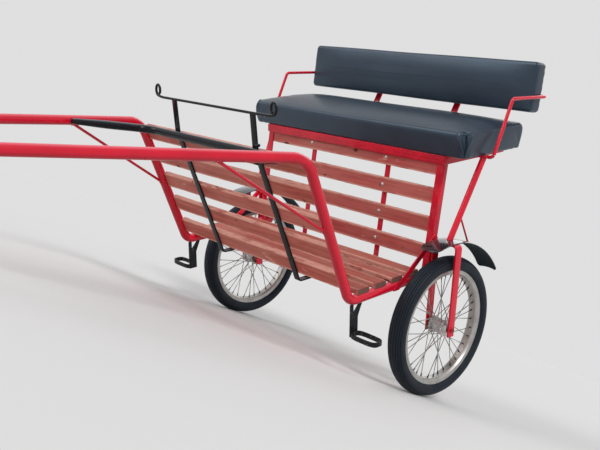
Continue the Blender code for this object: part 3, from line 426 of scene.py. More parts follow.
def button(centre, axis, radius, height, sides=14, rows=5):
    """Domed head: a quarter ellipse from rim to crown turned about its axis."""
    axis = unit(np.array(axis, float))
    first = unit(np.cross(axis, UP if abs(axis[2]) < 0.9 else ACROSS))
    second = np.cross(axis, first)
    rise = np.linspace(0.0, math.pi / 2.0 * 0.96, rows)
    r = np.concatenate([[radius], radius * np.cos(rise)])[:, None, None]
    h = np.concatenate([[-height], height * np.sin(rise)])[:, None, None]
    flat = circle(1.0, sides)
    return skin(centre + r * (flat[None, :, :1] * first + flat[None, :, 1:] * second) + h * axis)


def hexagon(centre, axis, radius, thick):
    """Nut: an eased hexagon carried along its axis, smaller at both ends for the chamfer."""
    axis = unit(np.array(axis, float))
    outline = eased(circle(radius, 6), radius * 0.08, 2)
    side = UP if abs(axis[2]) < 0.9 else ACROSS
    at = vec(-0.5, -0.38, 0.38, 0.5)[:, None] * thick
    return skin(carried(centre + at * axis, outline, side, scale=[0.9, 1.0, 1.0, 0.9]))


def weld(foot, axis, radius, along, big, size, seed):
    """Weld bead where a rod meets a tube: the rod's round, moved along its axis until it lies on
    the tube (a quadratic in the distance), carried as a closed path with a rippled section."""
    first = unit(np.cross(axis, along))
    flat = circle(radius + size * 0.3, 48)
    ring = foot + flat[:, :1] * first + flat[:, 1:] * np.cross(axis, first)
    off = (ring - foot) - ((ring - foot) @ along)[:, None] * along
    go = axis - along * (axis @ along)
    a, b, c = go @ go, off @ go, (off * off).sum(1) - big * big
    reach = (-b + np.sqrt(np.maximum(b * b - a * c, 0.0))) / a
    turn = np.arange(48) * 2.0 * math.pi / 48.0
    ripple = 1.0 + 0.16 * np.sin(11.0 * turn + seed) + 0.12 * np.sin(5.0 * turn + 2.3 * seed)
    path = ring + reach[:, None] * axis
    return skin(carried(path, circle(size, 8), axis, scale=ripple, loop=True), wrap=True)


def outward(mesh):
    """Recalculates a closed mesh's normals to point outwards."""
    bm = bmesh.new()
    bm.from_mesh(mesh)
    bmesh.ops.recalc_face_normals(bm, faces=bm.faces)
    bm.to_mesh(mesh)
    bm.free()


def piece(name, surfaces, finish_name, nodes=(), body="cart", bevel=0.0, masks=None, level=True):
    """Makes surfaces one object at the origin, with its finish, that rides on a body. One that
    stands for CAD nodes hides them."""
    points, faces = together(surfaces)
    mesh = bpy.data.meshes.new(name)
    mesh.from_pydata((parked(points) if level else points).tolist(), [], faces)
    outward(mesh)
    mesh.materials.append(bpy.data.materials[finish_name])
    mesh.shade_smooth()
    mesh.set_sharp_from_angle(angle=SHARP_ANGLE)
    for label, values in (masks or {}).items():
        layer = mesh.attributes.new(label, "FLOAT", "POINT")
        layer.data.foreach_set("value", np.ascontiguousarray(values, np.float32).ravel())
    made = bpy.data.objects.new(name, mesh)
    bpy.context.scene.collection.objects.link(made)
    if bevel:
        ease = made.modifiers.new("eased_edges", "BEVEL")
        ease.width = bevel
        ease.segments = 2
        ease.limit_method = "ANGLE"
        ease.angle_limit = BEVEL_ANGLE
    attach(made, body)
    if nodes:
        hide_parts(*nodes)
    return made


def leg_y(z):
    """Centre line of a leg at the height z."""
    return LEG_FOOT_Y + (LEG_TOP_Y - LEG_FOOT_Y) / (LEG_TOP_Z - FLOOR_TUBE_Z) * (z - FLOOR_TUBE_Z)


def panel_y(z):
    """Front face of the posts at the height z."""
    return SEAT_FRONT_Y + POST_LEAN * (z - SEAT_TOP_Z)


def seat_front():
    """Front face of the seat frame."""
    return panel_y(SEAT_TOP_Z - ANGLE_WIDE) - GAP - ANGLE_THICK


def seat_rear():
    """Rear face of the seat frame."""
    return seat_front() + SEAT_DEPTH


def bracket_y():
    """Centre line of the brackets beside the seat frame that carry arms and struts."""
    return seat_front() + SEAT_DEPTH * 0.380 - 0.018


def bracket_z():
    """Middle of those brackets' thickness, just under the seat board."""
    return SEAT_TOP_Z - GAP - CARRIER_THICK / 2.0


LEG_SLOPE = (LEG_TOP_Y - LEG_FOOT_Y) / (LEG_TOP_Z - FLOOR_TUBE_Z)
LEG_DIR = unit(vec(0.0, LEG_SLOPE, 1.0))
LEG_BACK = unit(vec(0.0, 1.0, -LEG_SLOPE))
POST_DIR = unit(vec(0.0, POST_LEAN, 1.0))
POST_BACK = unit(vec(0.0, 1.0, -POST_LEAN))


def shaft_point(along, side):
    """Centre line of the straight shaft, along metres in front of the leg top."""
    return vec(side * (FRAME_HALF - SHAFT_CONVERGE * along), LEG_TOP_Y - along,
               LEG_TOP_Z + SHAFT_RISE * along)


def shaft_dir(side):
    """Direction of the straight shaft."""
    return unit(shaft_point(1.0, side) - shaft_point(0.0, side))


def node(tree, kind, settings=None, **inputs):
    """Adds a shader node; i0, i1 name its inputs by number, other names by label."""
    made = tree.nodes.new("ShaderNode" + kind)
    for name, value in (settings or {}).items():
        setattr(made, name, value)
    for name, value in inputs.items():
        numbered = name[1:].isdigit()
        socket = made.inputs[int(name[1:]) if numbered else name.replace("_", " ")]
        if isinstance(value, bpy.types.NodeSocket):
            tree.links.new(value, socket)
        else:
            socket.default_value = value
    return made


def blended(tree, factor, one, two):
    """Colour one at factor 0 and two at factor 1."""
    return node(tree, "Mix", {"data_type": "RGBA"}, i0=factor, i6=one, i7=two).outputs[2]


def worked(tree, operation, one, two):
    """Clamped arithmetic on two values."""
    settings = {"operation": operation, "use_clamp": True}
    return node(tree, "Math", settings, i0=one, i1=two).outputs[0]


def ranged(tree, value, smooth=False, **ends):
    """A value moved from one range to another, both 0 to 1 where ends don't say otherwise."""
    settings = {"interpolation_type": "SMOOTHSTEP"} if smooth else None
    return node(tree, "MapRange", settings, Value=value, **ends).outputs[0]


def effect(name, inputs, outputs):
    """Empty shader node group with named inputs (label, kind, value) and outputs (label, kind)."""
    tree = bpy.data.node_groups.new(name, "ShaderNodeTree")
    face = tree.interface
    for label, kind, value in inputs:
        socket = face.new_socket(label, in_out="INPUT", socket_type="NodeSocket" + kind)
        socket.default_value = value
    for label, kind in outputs:
        face.new_socket(label, in_out="OUTPUT", socket_type="NodeSocket" + kind)
    return tree, tree.nodes.new("NodeGroupInput").outputs, tree.nodes.new("NodeGroupOutput").inputs


def noise_on_object(tree, given, stretched=True, **settings):
    """Noise of the given scale on object coordinates, which Stretch multiplies."""
    place = node(tree, "TexCoord").outputs["Object"]
    if stretched:
        place = node(tree, "Mapping", None, Vector=place, Scale=given["Stretch"]).outputs[0]
    return node(tree, "TexNoise", None, Vector=place, Scale=given["Scale"], **settings).outputs[0]


def facing_up(tree):
    """How far a face looks up: 1 up, 0 level, -1 down."""
    normal = node(tree, "NewGeometry").outputs["Normal"]
    return node(tree, "SeparateXYZ", None, Vector=normal).outputs[2]


def patches_effect():
    """Mask of patches: noise on stretched object coordinates, cut between two levels."""
    tree, given, result = effect("Cart Patches", [
        ("Stretch", "Vector", (1.0, 1.0, 1.0)), ("Scale", "Float", 10.0), ("Detail", "Float", 4.0),
        ("From", "Float", 0.4), ("To", "Float", 0.6)], [("Mask", "Float")])
    noise = noise_on_object(tree, given, Detail=given["Detail"], Roughness=0.6)
    mask = ranged(tree, noise, True, From_Min=given["From"], From_Max=given["To"])
    tree.links.new(mask, result["Mask"])


def relief_effect():
    """Normal of a fine uneven surface from stretched noise."""
    tree, given, result = effect("Cart Relief", [
        ("Stretch", "Vector", (1.0, 1.0, 1.0)), ("Scale", "Float", 200.0),
        ("Strength", "Float", 0.1), ("Depth", "Float", 0.001)], [("Normal", "Vector")])
    noise = noise_on_object(tree, given, Detail=3.0)
    bump = node(tree, "Bump", None, Strength=given["Strength"], Distance=given["Depth"],
                Height=noise)
    tree.links.new(bump.outputs[0], result["Normal"])


def dust_effect():
    """Mask of settled dust: how far a face looks up, broken by noise, times an amount."""
    tree, given, result = effect("Cart Dust", [
        ("Amount", "Float", 0.3), ("Scale", "Float", 30.0)], [("Mask", "Float")])
    settled = ranged(tree, facing_up(tree), From_Min=-0.2, From_Max=0.9)
    noise = ranged(tree, noise_on_object(tree, given, False, Detail=5.0),
                   From_Min=0.35, From_Max=0.7)
    mask = worked(tree, "MULTIPLY", worked(tree, "MULTIPLY", settled, noise), given["Amount"])
    tree.links.new(mask, result["Mask"])


def painted_light_effect():
    """Masks of painted light: a painted sky reflection on faces that look up, and painted shade on
    faces that look down, each a smooth step times an amount."""
    tree, given, result = effect("Cart Painted Light", [("Amount", "Float", 0.2), ("From", "Float", 0.45)],
                                 [("Mask", "Float"), ("Painted Shade", "Float")])
    facing = facing_up(tree)
    up = ranged(tree, facing, True, From_Min=given["From"], From_Max=1.0)
    down = ranged(tree, facing, True, From_Min=-0.05, From_Max=-0.85)
    tree.links.new(worked(tree, "MULTIPLY", up, given["Amount"]), result["Mask"])
    tree.links.new(worked(tree, "MULTIPLY", down, given["Amount"]), result["Painted Shade"])


def shade(colour, factor=1.0):
    """Colour with four channels, made darker or lighter."""
    return (*(min(1.0, c * factor) for c in colour), 1.0)


class Finish:
    """Material in the making: a tone with layers laid over it, and the shader's sockets."""

    def __init__(self, name, colour, factor=1.0, **values):
        self.material = bpy.data.materials.new(name)
        self.material.use_nodes = True
        self.tree = self.material.node_tree
        self.sockets = self.tree.nodes["Principled BSDF"].inputs
        self.tone = shade(colour, factor)
        for label, value in values.items():
            self.sockets[label.replace("_", " ")].default_value = value

    def placed(self, effect_name, output, **inputs):
        """Output of one of the shared effects, placed in this material."""
        group = self.tree.nodes.new("ShaderNodeGroup")
        group.node_tree = bpy.data.node_groups[effect_name]
        for name, value in inputs.items():
            group.inputs[name].default_value = value
        return group.outputs[output]

    def patches(self, scale, low, high, detail=4.0, along=1.0):
        """Mask of noise patches; along below 1 draws them out along x."""
        return self.placed("Cart Patches", "Mask", Stretch=(along, 1.0, 1.0), Scale=scale,
                           Detail=detail, From=low, To=high)

    def dust(self, amount, scale):
        """Mask of dust on what looks up."""
        return self.placed("Cart Dust", "Mask", Amount=amount, Scale=scale)

    def marked(self, name):
        """Values that the piece carries under a name."""
        return node(self.tree, "Attribute", {"attribute_name": name}).outputs["Fac"]

    def both(self, one, two, operation="ADD"):
        """Clamped arithmetic on two masks, their sum unless told otherwise."""
        return worked(self.tree, operation, one, two)

    def part(self, mask, share):
        """A mask times a share."""
        return worked(self.tree, "MULTIPLY", mask, share)

    def lay(self, mask, colour, factor=1.0, share=None):
        """Lays colour times factor over the tone where the mask is 1, or a share of it."""
        mask = mask if share is None else self.part(mask, share)
        self.tone = blended(self.tree, mask, self.tone, shade(colour, factor))

    def drive(self, label, mask, low, high):
        """Moves a socket of the shader from low to high with a mask."""
        value = ranged(self.tree, mask, To_Min=low, To_Max=high)
        self.tree.links.new(value, self.sockets[label])

    def done(self, normal=None):
        """Links tone and normal to the shader."""
        self.tree.links.new(self.tone, self.sockets["Base Color"])
        if normal:
            self.tree.links.new(normal, self.sockets["Normal"])

    def relief(self, scale, strength, depth):
        """Normal of an uneven surface."""
        return self.placed("Cart Relief", "Normal", Scale=scale, Strength=strength, Depth=depth)

    def bump(self, height, strength, depth):
        """Normal of a surface raised by a height."""
        return node(self.tree, "Bump", None, Strength=strength, Distance=depth,
                    Height=height).outputs[0]


def enamel(name, colour, dull, chip, dust, rough, coat, chip_from=0.70, painted_light=0.0,
           pale=(0.300, 0.330, 0.380), shine=0.30):
    """Brushed-on gloss paint: slow patches of tone, small chips, dust on what looks up, a painted
    sky reflection on top and painted shade below."""
    f = Finish(name, colour, Coat_Roughness=0.05, Specular_IOR_Level=shine)
    streaks = f.patches(60.0, 0.50, 0.80, 6.0)
    chips = f.patches(95.0, chip_from, chip_from + 0.02, 2.0)
    grime = f.dust(dust, 45.0)
    f.lay(f.patches(7.0, 0.35, 0.68), colour, dull)
    f.lay(streaks, colour, dull * 0.85, 0.25)
    f.lay(chips, chip)
    f.lay(grime, (0.30, 0.27, 0.25))
    # Painted light: the pale colour on faces that look up is a painted sky reflection, and the
    # colour darkened on faces that look down is painted shade.
    f.lay(f.placed("Cart Painted Light", "Mask", Amount=painted_light), pale)
    f.lay(f.placed("Cart Painted Light", "Painted Shade", Amount=painted_light), colour, 0.30)
    f.drive("Roughness", f.both(streaks, grime), *rough)
    f.drive("Coat Weight", f.both(grime, chips), coat, 0.0)
    f.done(f.relief(90.0, 0.08, 0.0006))


def stained_wood(name, colour, worn, end):
    """Stained softwood: long grain along x, knots, edges worn pale and grey end grain."""
    f = Finish(name, colour, 1.05, Specular_IOR_Level=0.35)
    broad = f.patches(70.0, 0.36, 0.66, along=0.05)
    fine = f.patches(420.0, 0.42, 0.66, along=0.03)
    rubbed = f.part(f.marked("edge"), f.patches(60.0, 0.30, 0.52, along=0.25))
    grime = f.dust(0.22, 24.0)
    f.lay(broad, colour, 0.70)
    f.lay(fine, colour, 0.48, 0.45)
    f.lay(f.patches(5.0, 0.34, 0.66, along=0.5), worn, 0.75, 0.35)
    f.lay(f.marked("tone"), colour, 0.55, 0.35)
    f.lay(rubbed, worn, 1.0, 0.9)
    f.lay(f.patches(26.0, 0.72, 0.76, 1.0, 0.45), colour, 0.22)
    f.lay(f.patches(22.0, 0.64, 0.72, 6.0, 0.35), worn, 1.1, 0.55)
    f.lay(grime, (0.34, 0.28, 0.25))
    f.lay(f.marked("sawn"), end)
    f.drive("Roughness", f.both(broad, grime), 0.48, 0.78)
    grain = node(f.tree, "Math", {"operation": "MULTIPLY_ADD"}, i0=fine, i1=-0.6, i2=broad)
    f.done(f.bump(grain.outputs[0], 0.28, 0.0006))


def seat_vinyl(name, colour):
    """Grained vinyl: small leather cells, faint scuffs, a slightly dusty top."""
    f = Finish(name, colour, Specular_IOR_Level=0.60, Specular_Tint=(0.62, 0.80, 1.0, 1.0))
    scuffs = f.patches(60.0, 0.66, 0.74, 7.0, 0.3)
    grime = f.dust(0.05, 18.0)
    f.lay(f.patches(5.0, 0.32, 0.70), colour, 1.35)
    f.lay(scuffs, colour, 2.4, 0.25)
    f.lay(grime, (0.12, 0.14, 0.16))
    f.drive("Roughness", f.both(grime, scuffs), 0.31, 0.55)
    place = node(f.tree, "TexCoord").outputs["Object"]
    cells = node(f.tree, "TexVoronoi", {"feature": "DISTANCE_TO_EDGE"}, Vector=place, Scale=520.0)
    f.done(f.bump(ranged(f.tree, cells.outputs[0], From_Max=0.22), 0.09, 0.0004))


def tyre_rubber(name, colour):
    """Rubber with specks of pale road dust, and grooves darkened as painted shade."""
    f = Finish(name, colour, 0.85, Specular_IOR_Level=0.34, Specular_Tint=(0.72, 0.86, 1.0, 1.0))
    slow = f.patches(14.0, 0.36, 0.68)
    f.lay(slow, colour, 1.30)
    f.lay(f.patches(240.0, 0.58, 0.72, 6.0), (0.055, 0.062, 0.080), 1.0, 0.14)
    # Painted shade: the colour is darkened in the grooves' recesses.
    f.lay(f.marked("groove_shade"), colour, 0.20, 0.85)
    f.drive("Roughness", slow, 0.52, 0.74)
    f.done(f.relief(500.0, 0.18, 0.0005))


def worn_metal(name, colour, dark, rust, rough, rust_from, metallic, scale=1.0):
    """Bare or plated metal: dull patches, grime and rust specks that aren't metallic."""
    f = Finish(name, colour)
    slow = f.patches(24.0 * scale, 0.35, 0.68)
    specks = f.patches(150.0 * scale, rust_from, rust_from + 0.06, 6.0)
    stain = f.patches(38.0 * scale, rust_from - 0.06, rust_from + 0.08, 6.0)
    rusted = f.both(specks, f.part(stain, 0.55), "MAXIMUM")
    f.lay(slow, dark)
    f.lay(rusted, rust)
    f.drive("Metallic", rusted, metallic, 0.1)
    f.drive("Roughness", f.both(rusted, f.part(slow, 0.4)), *rough)
    f.done(f.relief(420.0, 0.16, 0.0004))


def guard_paint(name, colour):
    """Black paint, glossy outside, and darker, dull and without coat on the face marked under."""
    f = Finish(name, colour, Coat_Roughness=0.05, Specular_Tint=(0.6, 0.8, 1.0, 1.0))
    under = f.marked("under")
    slow = f.patches(16.0, 0.35, 0.66)
    f.lay(slow, colour, 1.9)
    f.lay(f.dust(0.05, 40.0), (0.22, 0.21, 0.20))
    f.lay(under, colour, 0.8)
    f.drive("Roughness", f.both(under, f.part(slow, 0.15)), 0.14, 0.85)
    f.drive("Coat Weight", under, 1.0, 0.0)
    f.done(f.relief(30.0, 0.10, 0.001))


class CartColours(bpy.types.PropertyGroup):
    """Colours of the cart's finishes."""
    red: bpy.props.FloatVectorProperty(
        name="Red paint", description="Gloss paint of frame, shafts and forks",
        default=(0.740, 0.004, 0.030), subtype="COLOR", min=0.0, max=1.0)
    black: bpy.props.FloatVectorProperty(
        name="Black paint", description="Gloss paint of hoop, uprights, rail and steps",
        default=(0.006, 0.007, 0.010), subtype="COLOR", min=0.0, max=1.0)
    wood: bpy.props.FloatVectorProperty(
        name="Stained wood", description="Stain of the slats",
        default=(0.500, 0.086, 0.056), subtype="COLOR", min=0.0, max=1.0)
    worn_wood: bpy.props.FloatVectorProperty(
        name="Worn wood", description="Wood where the stain is rubbed off",
        default=(0.735, 0.370, 0.290), subtype="COLOR", min=0.0, max=1.0)
    vinyl: bpy.props.FloatVectorProperty(
        name="Vinyl", description="Cover of seat and back rest",
        default=(0.017, 0.026, 0.040), subtype="COLOR", min=0.0, max=1.0)
    rubber: bpy.props.FloatVectorProperty(
        name="Tyre rubber", description="Tyres",
        default=(0.008, 0.010, 0.015), subtype="COLOR", min=0.0, max=1.0)
    steel: bpy.props.FloatVectorProperty(
        name="Plated steel", description="Rims and spokes",
        default=(0.470, 0.455, 0.435), subtype="COLOR", min=0.0, max=1.0)
    rust: bpy.props.FloatVectorProperty(
        name="Rust", description="Rust on nuts, discs and rims",
        default=(0.150, 0.055, 0.025), subtype="COLOR", min=0.0, max=1.0)
    ground: bpy.props.FloatVectorProperty(
        name="Floor", description="Floor and backdrop",
        default=(0.780, 0.780, 0.780), subtype="COLOR", min=0.0, max=1.0)


class CartDetails(bpy.types.PropertyGroup):
    """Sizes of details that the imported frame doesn't fix."""
    tube_sides: bpy.props.IntProperty(
        name="Tube sides", description="Faces around a tube", default=36, min=12, max=64)
    wheel_steps: bpy.props.IntProperty(
        name="Wheel steps", description="Faces around a wheel", default=144, min=48, max=256)
    slat_ease: bpy.props.FloatProperty(
        name="Slat edge", description="Radius of the slats' long edges", default=0.0022,
        min=0.0005, max=0.006, unit="LENGTH")
    bolt_radius: bpy.props.FloatProperty(
        name="Bolt head", description="Radius of the round bolt heads", default=0.0072,
        min=0.003, max=0.012, unit="LENGTH")
    groove_depth: bpy.props.FloatProperty(
        name="Tread groove", description="Depth of the grooves in the tread", default=0.0022,
        min=0.0005, max=0.004, unit="LENGTH")
    spoke_radius: bpy.props.FloatProperty(
        name="Spoke", description="Radius of a spoke", default=0.0016,
        min=0.001, max=0.003, unit="LENGTH")


def details():
    """The scene's detail settings."""
    return bpy.context.scene.cart_details


class CartFinishes(bpy.types.Operator):
    """Makes the effects and the finishes of all pieces"""
    bl_idname = "cart.finishes"
    bl_label = "Finishes"

    def execute(self, context):
        patches_effect()
        relief_effect()
        dust_effect()
        painted_light_effect()
        c = context.scene.cart_colours
        # The pink here is a painted sky reflection for the red paints, and the amount given with
        # each paint lays that reflection on top and painted shade underneath.
        red_chip, painted_sky_pink = (0.060, 0.018, 0.018), (0.980, 0.250, 0.320)
        enamel("red_gloss", c.red, 0.88, red_chip, 0.02, (0.16, 0.34), 0.36, chip_from=0.76,
               painted_light=0.54, pale=painted_sky_pink, shine=0.22)
        enamel("red_flat_bar", c.red, 0.70, red_chip, 0.05, (0.22, 0.48), 0.25, chip_from=0.72,
               painted_light=0.22, pale=painted_sky_pink)
        enamel("black_gloss", c.black, 1.3, (0.08, 0.07, 0.06), 0.02, (0.20, 0.40), 0.20,
               chip_from=0.76, painted_light=0.45, shine=0.12)
        enamel("black_iron", c.black, 1.8, (0.12, 0.10, 0.08), 0.10, (0.34, 0.70), 0.1,
               chip_from=0.64, shine=0.15)
        # Painted light: the panel's wood is the slats' stain tinted pinker and bluer for the sky
        # light falling on it.
        panel = tuple(a * b for a, b in zip(c.wood, (1.06, 0.84, 1.18)))
        end_grain = (0.155, 0.070, 0.055)
        stained_wood("stained_slats", c.wood, c.worn_wood, end_grain)
        stained_wood("sky_tinted_panel", panel, c.worn_wood, end_grain)
        stained_wood("dark_board", (0.045, 0.034, 0.028), (0.12, 0.09, 0.07), (0.05, 0.04, 0.035))
        seat_vinyl("grained_vinyl", c.vinyl)
        tyre_rubber("tyre_tread", c.rubber)
        worn_metal("rim_plate", c.steel, (0.37, 0.355, 0.335), c.rust, (0.34, 0.55), 0.82, 0.80)
        worn_metal("spoke_wire", (0.46, 0.45, 0.43), (0.16, 0.15, 0.14), c.rust, (0.26, 0.60),
                   0.60, 0.9)
        worn_metal("hub_alloy", (0.62, 0.62, 0.62), (0.52, 0.51, 0.50), c.rust, (0.34, 0.46),
                   0.88, 0.6)
        worn_metal("rusty_iron", (0.14, 0.075, 0.045), (0.07, 0.045, 0.035), c.rust,
                   (0.60, 0.92), 0.48, 0.2, 2.0)
        worn_metal("bolt_plate", (0.62, 0.61, 0.58), (0.45, 0.43, 0.40), c.rust, (0.30, 0.60),
                   0.66, 0.8, 3.0)
        guard_paint("guard_black", c.black)
        return {"FINISHED"}


class CartSideTubes(bpy.types.Operator):
    """Builds the bent side tubes, their braces and weld beads"""
    bl_idname = "cart.side_tubes"
    bl_label = "Side tubes"

    def execute(self, context):
        sides = details().tube_sides
        for word, side in SIDES:
            bend = shaft_point(SHAFT_TAPER_LENGTH, side)
            tip = bend + vec(0.0, -SHAFT_TIP, TIP_RISE)
            foot = vec(side * FRAME_HALF, LEG_FOOT_Y, FLOOR_TUBE_Z)
            rear = vec(side * FRAME_HALF, FLOOR_TUBE_END_Y, FLOOR_TUBE_Z)
            path = bent([tip, bend, shaft_point(0.0, side), foot, rear], list(SHAFT_BENDS), 16)
            angle = np.radians(np.linspace(86.0, 8.0, 8))
            dome = tip + unit(tip - bend) * (TUBE_RADIUS * np.sin(angle))[:, None]
            size = np.concatenate([np.cos(angle), np.ones(len(path))])
            tube = rod(np.vstack([dome, path]), TUBE_RADIUS + PAINT, ACROSS, sides, size)
            piece("tube_" + word, [tube], "red_gloss", ["side_tube_" + word])

            top = shaft_point(BRACE_REACH, side)
            low = vec(side * FRAME_HALF, leg_y(BRACE_FOOT_Z), BRACE_FOOT_Z)
            axis = unit(top - low)
            along = shaft_dir(side)
            under = unit((low - top) - along * ((low - top) @ along))
            front = unit((top - low) - LEG_DIR * ((top - low) @ LEG_DIR))
            seat = TUBE_RADIUS - GAP
            planes = ((low + front * seat, front), (top + under * seat, under))
            parts = [rod([low, top], BRACE_RADIUS, ACROSS, 16, planes=planes),
                     weld(low, axis, BRACE_RADIUS, LEG_DIR, TUBE_RADIUS, WELD, side),
                     weld(top, -axis, BRACE_RADIUS, along, TUBE_RADIUS, WELD, side + 3.0)]
            piece("brace_" + word, parts, "red_gloss", ["brace_rod_" + word])
        return {"FINISHED"}


def hoop_path():
    """Bent centre line of the hoop, shaft to shaft, its straight ends cut into short steps."""
    middle = vec(0.0, leg_y(BAR_Z), BAR_Z) - LEG_BACK * (UPRIGHT_THICK / 2.0 + GAP + BAR_RADIUS)
    inside = shaft_point(BAR_REACH + LEG_TOP_Y - middle[1], 1.0)
    x = inside[0] - (TUBE_RADIUS + GAP + BAR_RADIUS) * math.hypot(1.0, SHAFT_CONVERGE)
    path = bent([(-x, *inside[1:]), (-x, *middle[1:]), (x, *middle[1:]), (x, *inside[1:])],
                BAR_BEND, 16)
    share = np.linspace(0.0, 1.0, 15)[:-1, None]
    ahead = path[:1] * (1.0 - share) + path[1:2] * share
    astern = path[-2:-1] * share + path[-1:] * (1.0 - share)
    return np.vstack([ahead, path[1:-1], astern[::-1]])


def rail_path():
    """Centre line of the rein rail: a straight run across whose ends rise by the square of the run
    and curl up, out and in as a circle that shrinks as it turns."""
    z = UPRIGHT_TOP_Z + GAP + RAIL_RADIUS
    share = np.linspace(0.0, 1.0, 44)
    turn, shrink = SCROLL_TURN * share, 1.0 - SCROLL_SHRINK * share
    across = RAIL_HALF + SCROLL_OUT + SCROLL_WIDE / 2.0 * np.sin(turn) * shrink
    high = z + SCROLL_RISE + SCROLL_HIGH / 2.0 * (1.0 - np.cos(turn) * shrink)
    run = np.linspace(0.0, 1.0, 9)[:-1]
    across = np.concatenate([RAIL_HALF - 2.0 * SCROLL_OUT * (1.0 - 1.5 * run), across])
    high = np.concatenate([z + SCROLL_RISE * run * run, high])
    curl = np.stack([across, leg_y(UPRIGHT_BEND_Z) - UPRIGHT_LEAN + 0.0 * across, high], -1)
    return np.vstack([curl[::-1] * vec(-1.0, 1.0, 1.0), curl])


class CartHoop(bpy.types.Operator):
    """Builds the black hoop, the uprights with their feet, and the rein rail"""
    bl_idname = "cart.hoop"
    bl_label = "Hoop and rein rail"

    def execute(self, context):
        path = hoop_path()
        off = np.minimum(np.linalg.norm(path - path[0], axis=1),
                         np.linalg.norm(path - path[-1], axis=1))
        grown = np.clip(off / HOOP_TAPER, 0.0, 1.0)
        size = HOOP_THIN + (1.0 - HOOP_THIN) * grown * grown * (3.0 - 2.0 * grown)
        size[[0, -1]] = HOOP_TIP
        hoop = rod(path, BAR_RADIUS, UP, details().tube_sides, size)
        piece("hoop", [hoop], "black_gloss", ["cross_bar"])
        path = rail_path()
        size = np.ones(len(path))
        size[[0, -1]] = 0.55
        size[[1, -2]] = 0.92
        piece("rail", [rod(path, RAIL_RADIUS, BACK, 18, size)], "black_gloss", ["rein_rail"])
        for word, side in SIDES:
            x = side * UPRIGHT_X
            foot_z = FLOOR_TUBE_Z + TUBE_RADIUS - STRAP_THICK - GAP - UPRIGHT_THICK / 2.0
            bend_y = leg_y(UPRIGHT_BEND_Z)
            bead = vec(x, bend_y - UPRIGHT_LEAN, UPRIGHT_TOP_Z)
            path = bent([bead, (x, bend_y, UPRIGHT_BEND_Z), (x, leg_y(foot_z), foot_z),
                         (x, leg_y(foot_z) + UPRIGHT_FOOT, foot_z)],
                        [UPRIGHT_THICK * 4.0, UPRIGHT_THICK * 2.0], 8)
            parts = [strip(path, UPRIGHT_WIDE, UPRIGHT_THICK, ACROSS, 0.0016)]
            for off in (-1.0, 1.0):
                line = bead + np.linspace(-0.5, 0.5, 9)[:, None] * ACROSS * UPRIGHT_WIDE * 0.9
                line = line + vec(0.0, off * UPRIGHT_THICK * 0.45, RAIL_RADIUS * 0.25)
                size = 1.0 + 0.25 * np.sin(np.arange(9) * 2.4 + off + side)
                size[[0, -1]] = 0.4
                parts.append(rod(line, 0.0028, UP, 8, size))
            piece("upright_" + word, parts, "black_gloss", ["dash_upright_" + word])
        lugs = []
        for z, turn in LUGS:
            at = vec(UPRIGHT_X + turn * UPRIGHT_WIDE * 0.45, leg_y(z) - UPRIGHT_THICK / 2.0, z)
            line = at + vec(0.0, 0.003, 0.010, 0.017, 0.020)[:, None] * vec(turn, 0.0, 0.10)
            lugs.append(rod(line, LUG_RADIUS, UP, 20, [0.8, 0.85, 1.0, 0.95, 0.6]))
        piece("upright_lugs", lugs, "black_gloss")
        return {"FINISHED"}


def sines(rng, x, count, high, fast):
    """Sum of slow sine waves along x, of random height, speed and start."""
    return sum(rng.uniform(0.0001, high)
               * np.sin(x * rng.uniform(2.0, fast) + rng.uniform(0.0, 6.0)) for _ in range(count))


def dents(rng, x, half, deep):
    """Sum of small bell curves along x, of random depth and place."""
    return sum(rng.uniform(0.0004, deep)
               * np.exp(-((x - rng.uniform(-half, half)) / DENT_WIDE) ** 2) for _ in range(DENTS))


def slat(centre, half, wide, thick, along, back, seed):
    """Plank across the cart: an eased rectangle carried along x, whose edges wander by slow sine
    waves and are dented here and there by small bell curves. Returns surface and masks."""
    rng = np.random.default_rng(seed)
    a, b, e = wide / 2.0, thick / 2.0, details().slat_ease
    arc = np.radians(np.linspace(-90.0, 0.0, 5)[1:-1])
    quarter = arc + math.pi / 2.0
    face = vec(-a + e, -a + e + 0.003, -a + e + 0.008, a - e - 0.008, a - e - 0.003, a - e)
    u = np.concatenate([face, a - e + e * np.cos(arc), [a, a], a - e + e * np.cos(quarter)])
    v = np.concatenate([-b + 0.0 * face, -b + e + e * np.sin(arc), [-b + e, b - e],
                        b - e + e * np.sin(quarter)])
    edge = vec(1.0, 0.45, 0.0, 0.0, 0.45, 1.0, 1.0, 1.0, 1.0, 0.8, 0.8, 1.0, 1.0, 1.0)
    u, v, edge = np.concatenate([u, -u]), np.concatenate([v, -v]), np.concatenate([edge, edge])
    inner = np.linspace(-half + 0.006, half - 0.006, SLAT_STATIONS)
    x = np.concatenate([[-half, -half + 0.0012], inner, [half - 0.0012, half]])
    wave, bow = sines(rng, x, *SLAT_WAVES), sines(rng, x, *SLAT_BOWS)
    dent, low_dent = [dents(rng, x, half, deep) for deep in DENT_DEEP]
    size = np.ones(len(x))
    size[[0, -1]] = 1.0 - 0.0014 / a
    shift = wave[:, None] - np.where(u > 0.0, dent[:, None], -low_dent[:, None]) * edge[None]
    uu = u[None] * size[:, None] + shift
    vv = v[None] * size[:, None] + bow[:, None] * 0.6 - (edge[None] * np.sign(v)[None]) * 0.0002
    rings = centre + x[:, None, None] * ACROSS + uu[..., None] * along + vv[..., None] * back
    sawn = np.zeros(len(x))
    sawn[[0, 1, -2, -1]] = (1.0, 0.5, 0.5, 1.0)
    count = len(u)
    return skin(rings), {"edge": np.tile(edge, len(x)), "sawn": np.repeat(sawn, count),
                         "tone": np.repeat(rng.uniform(0.0, 1.0, 1), count * len(x))}


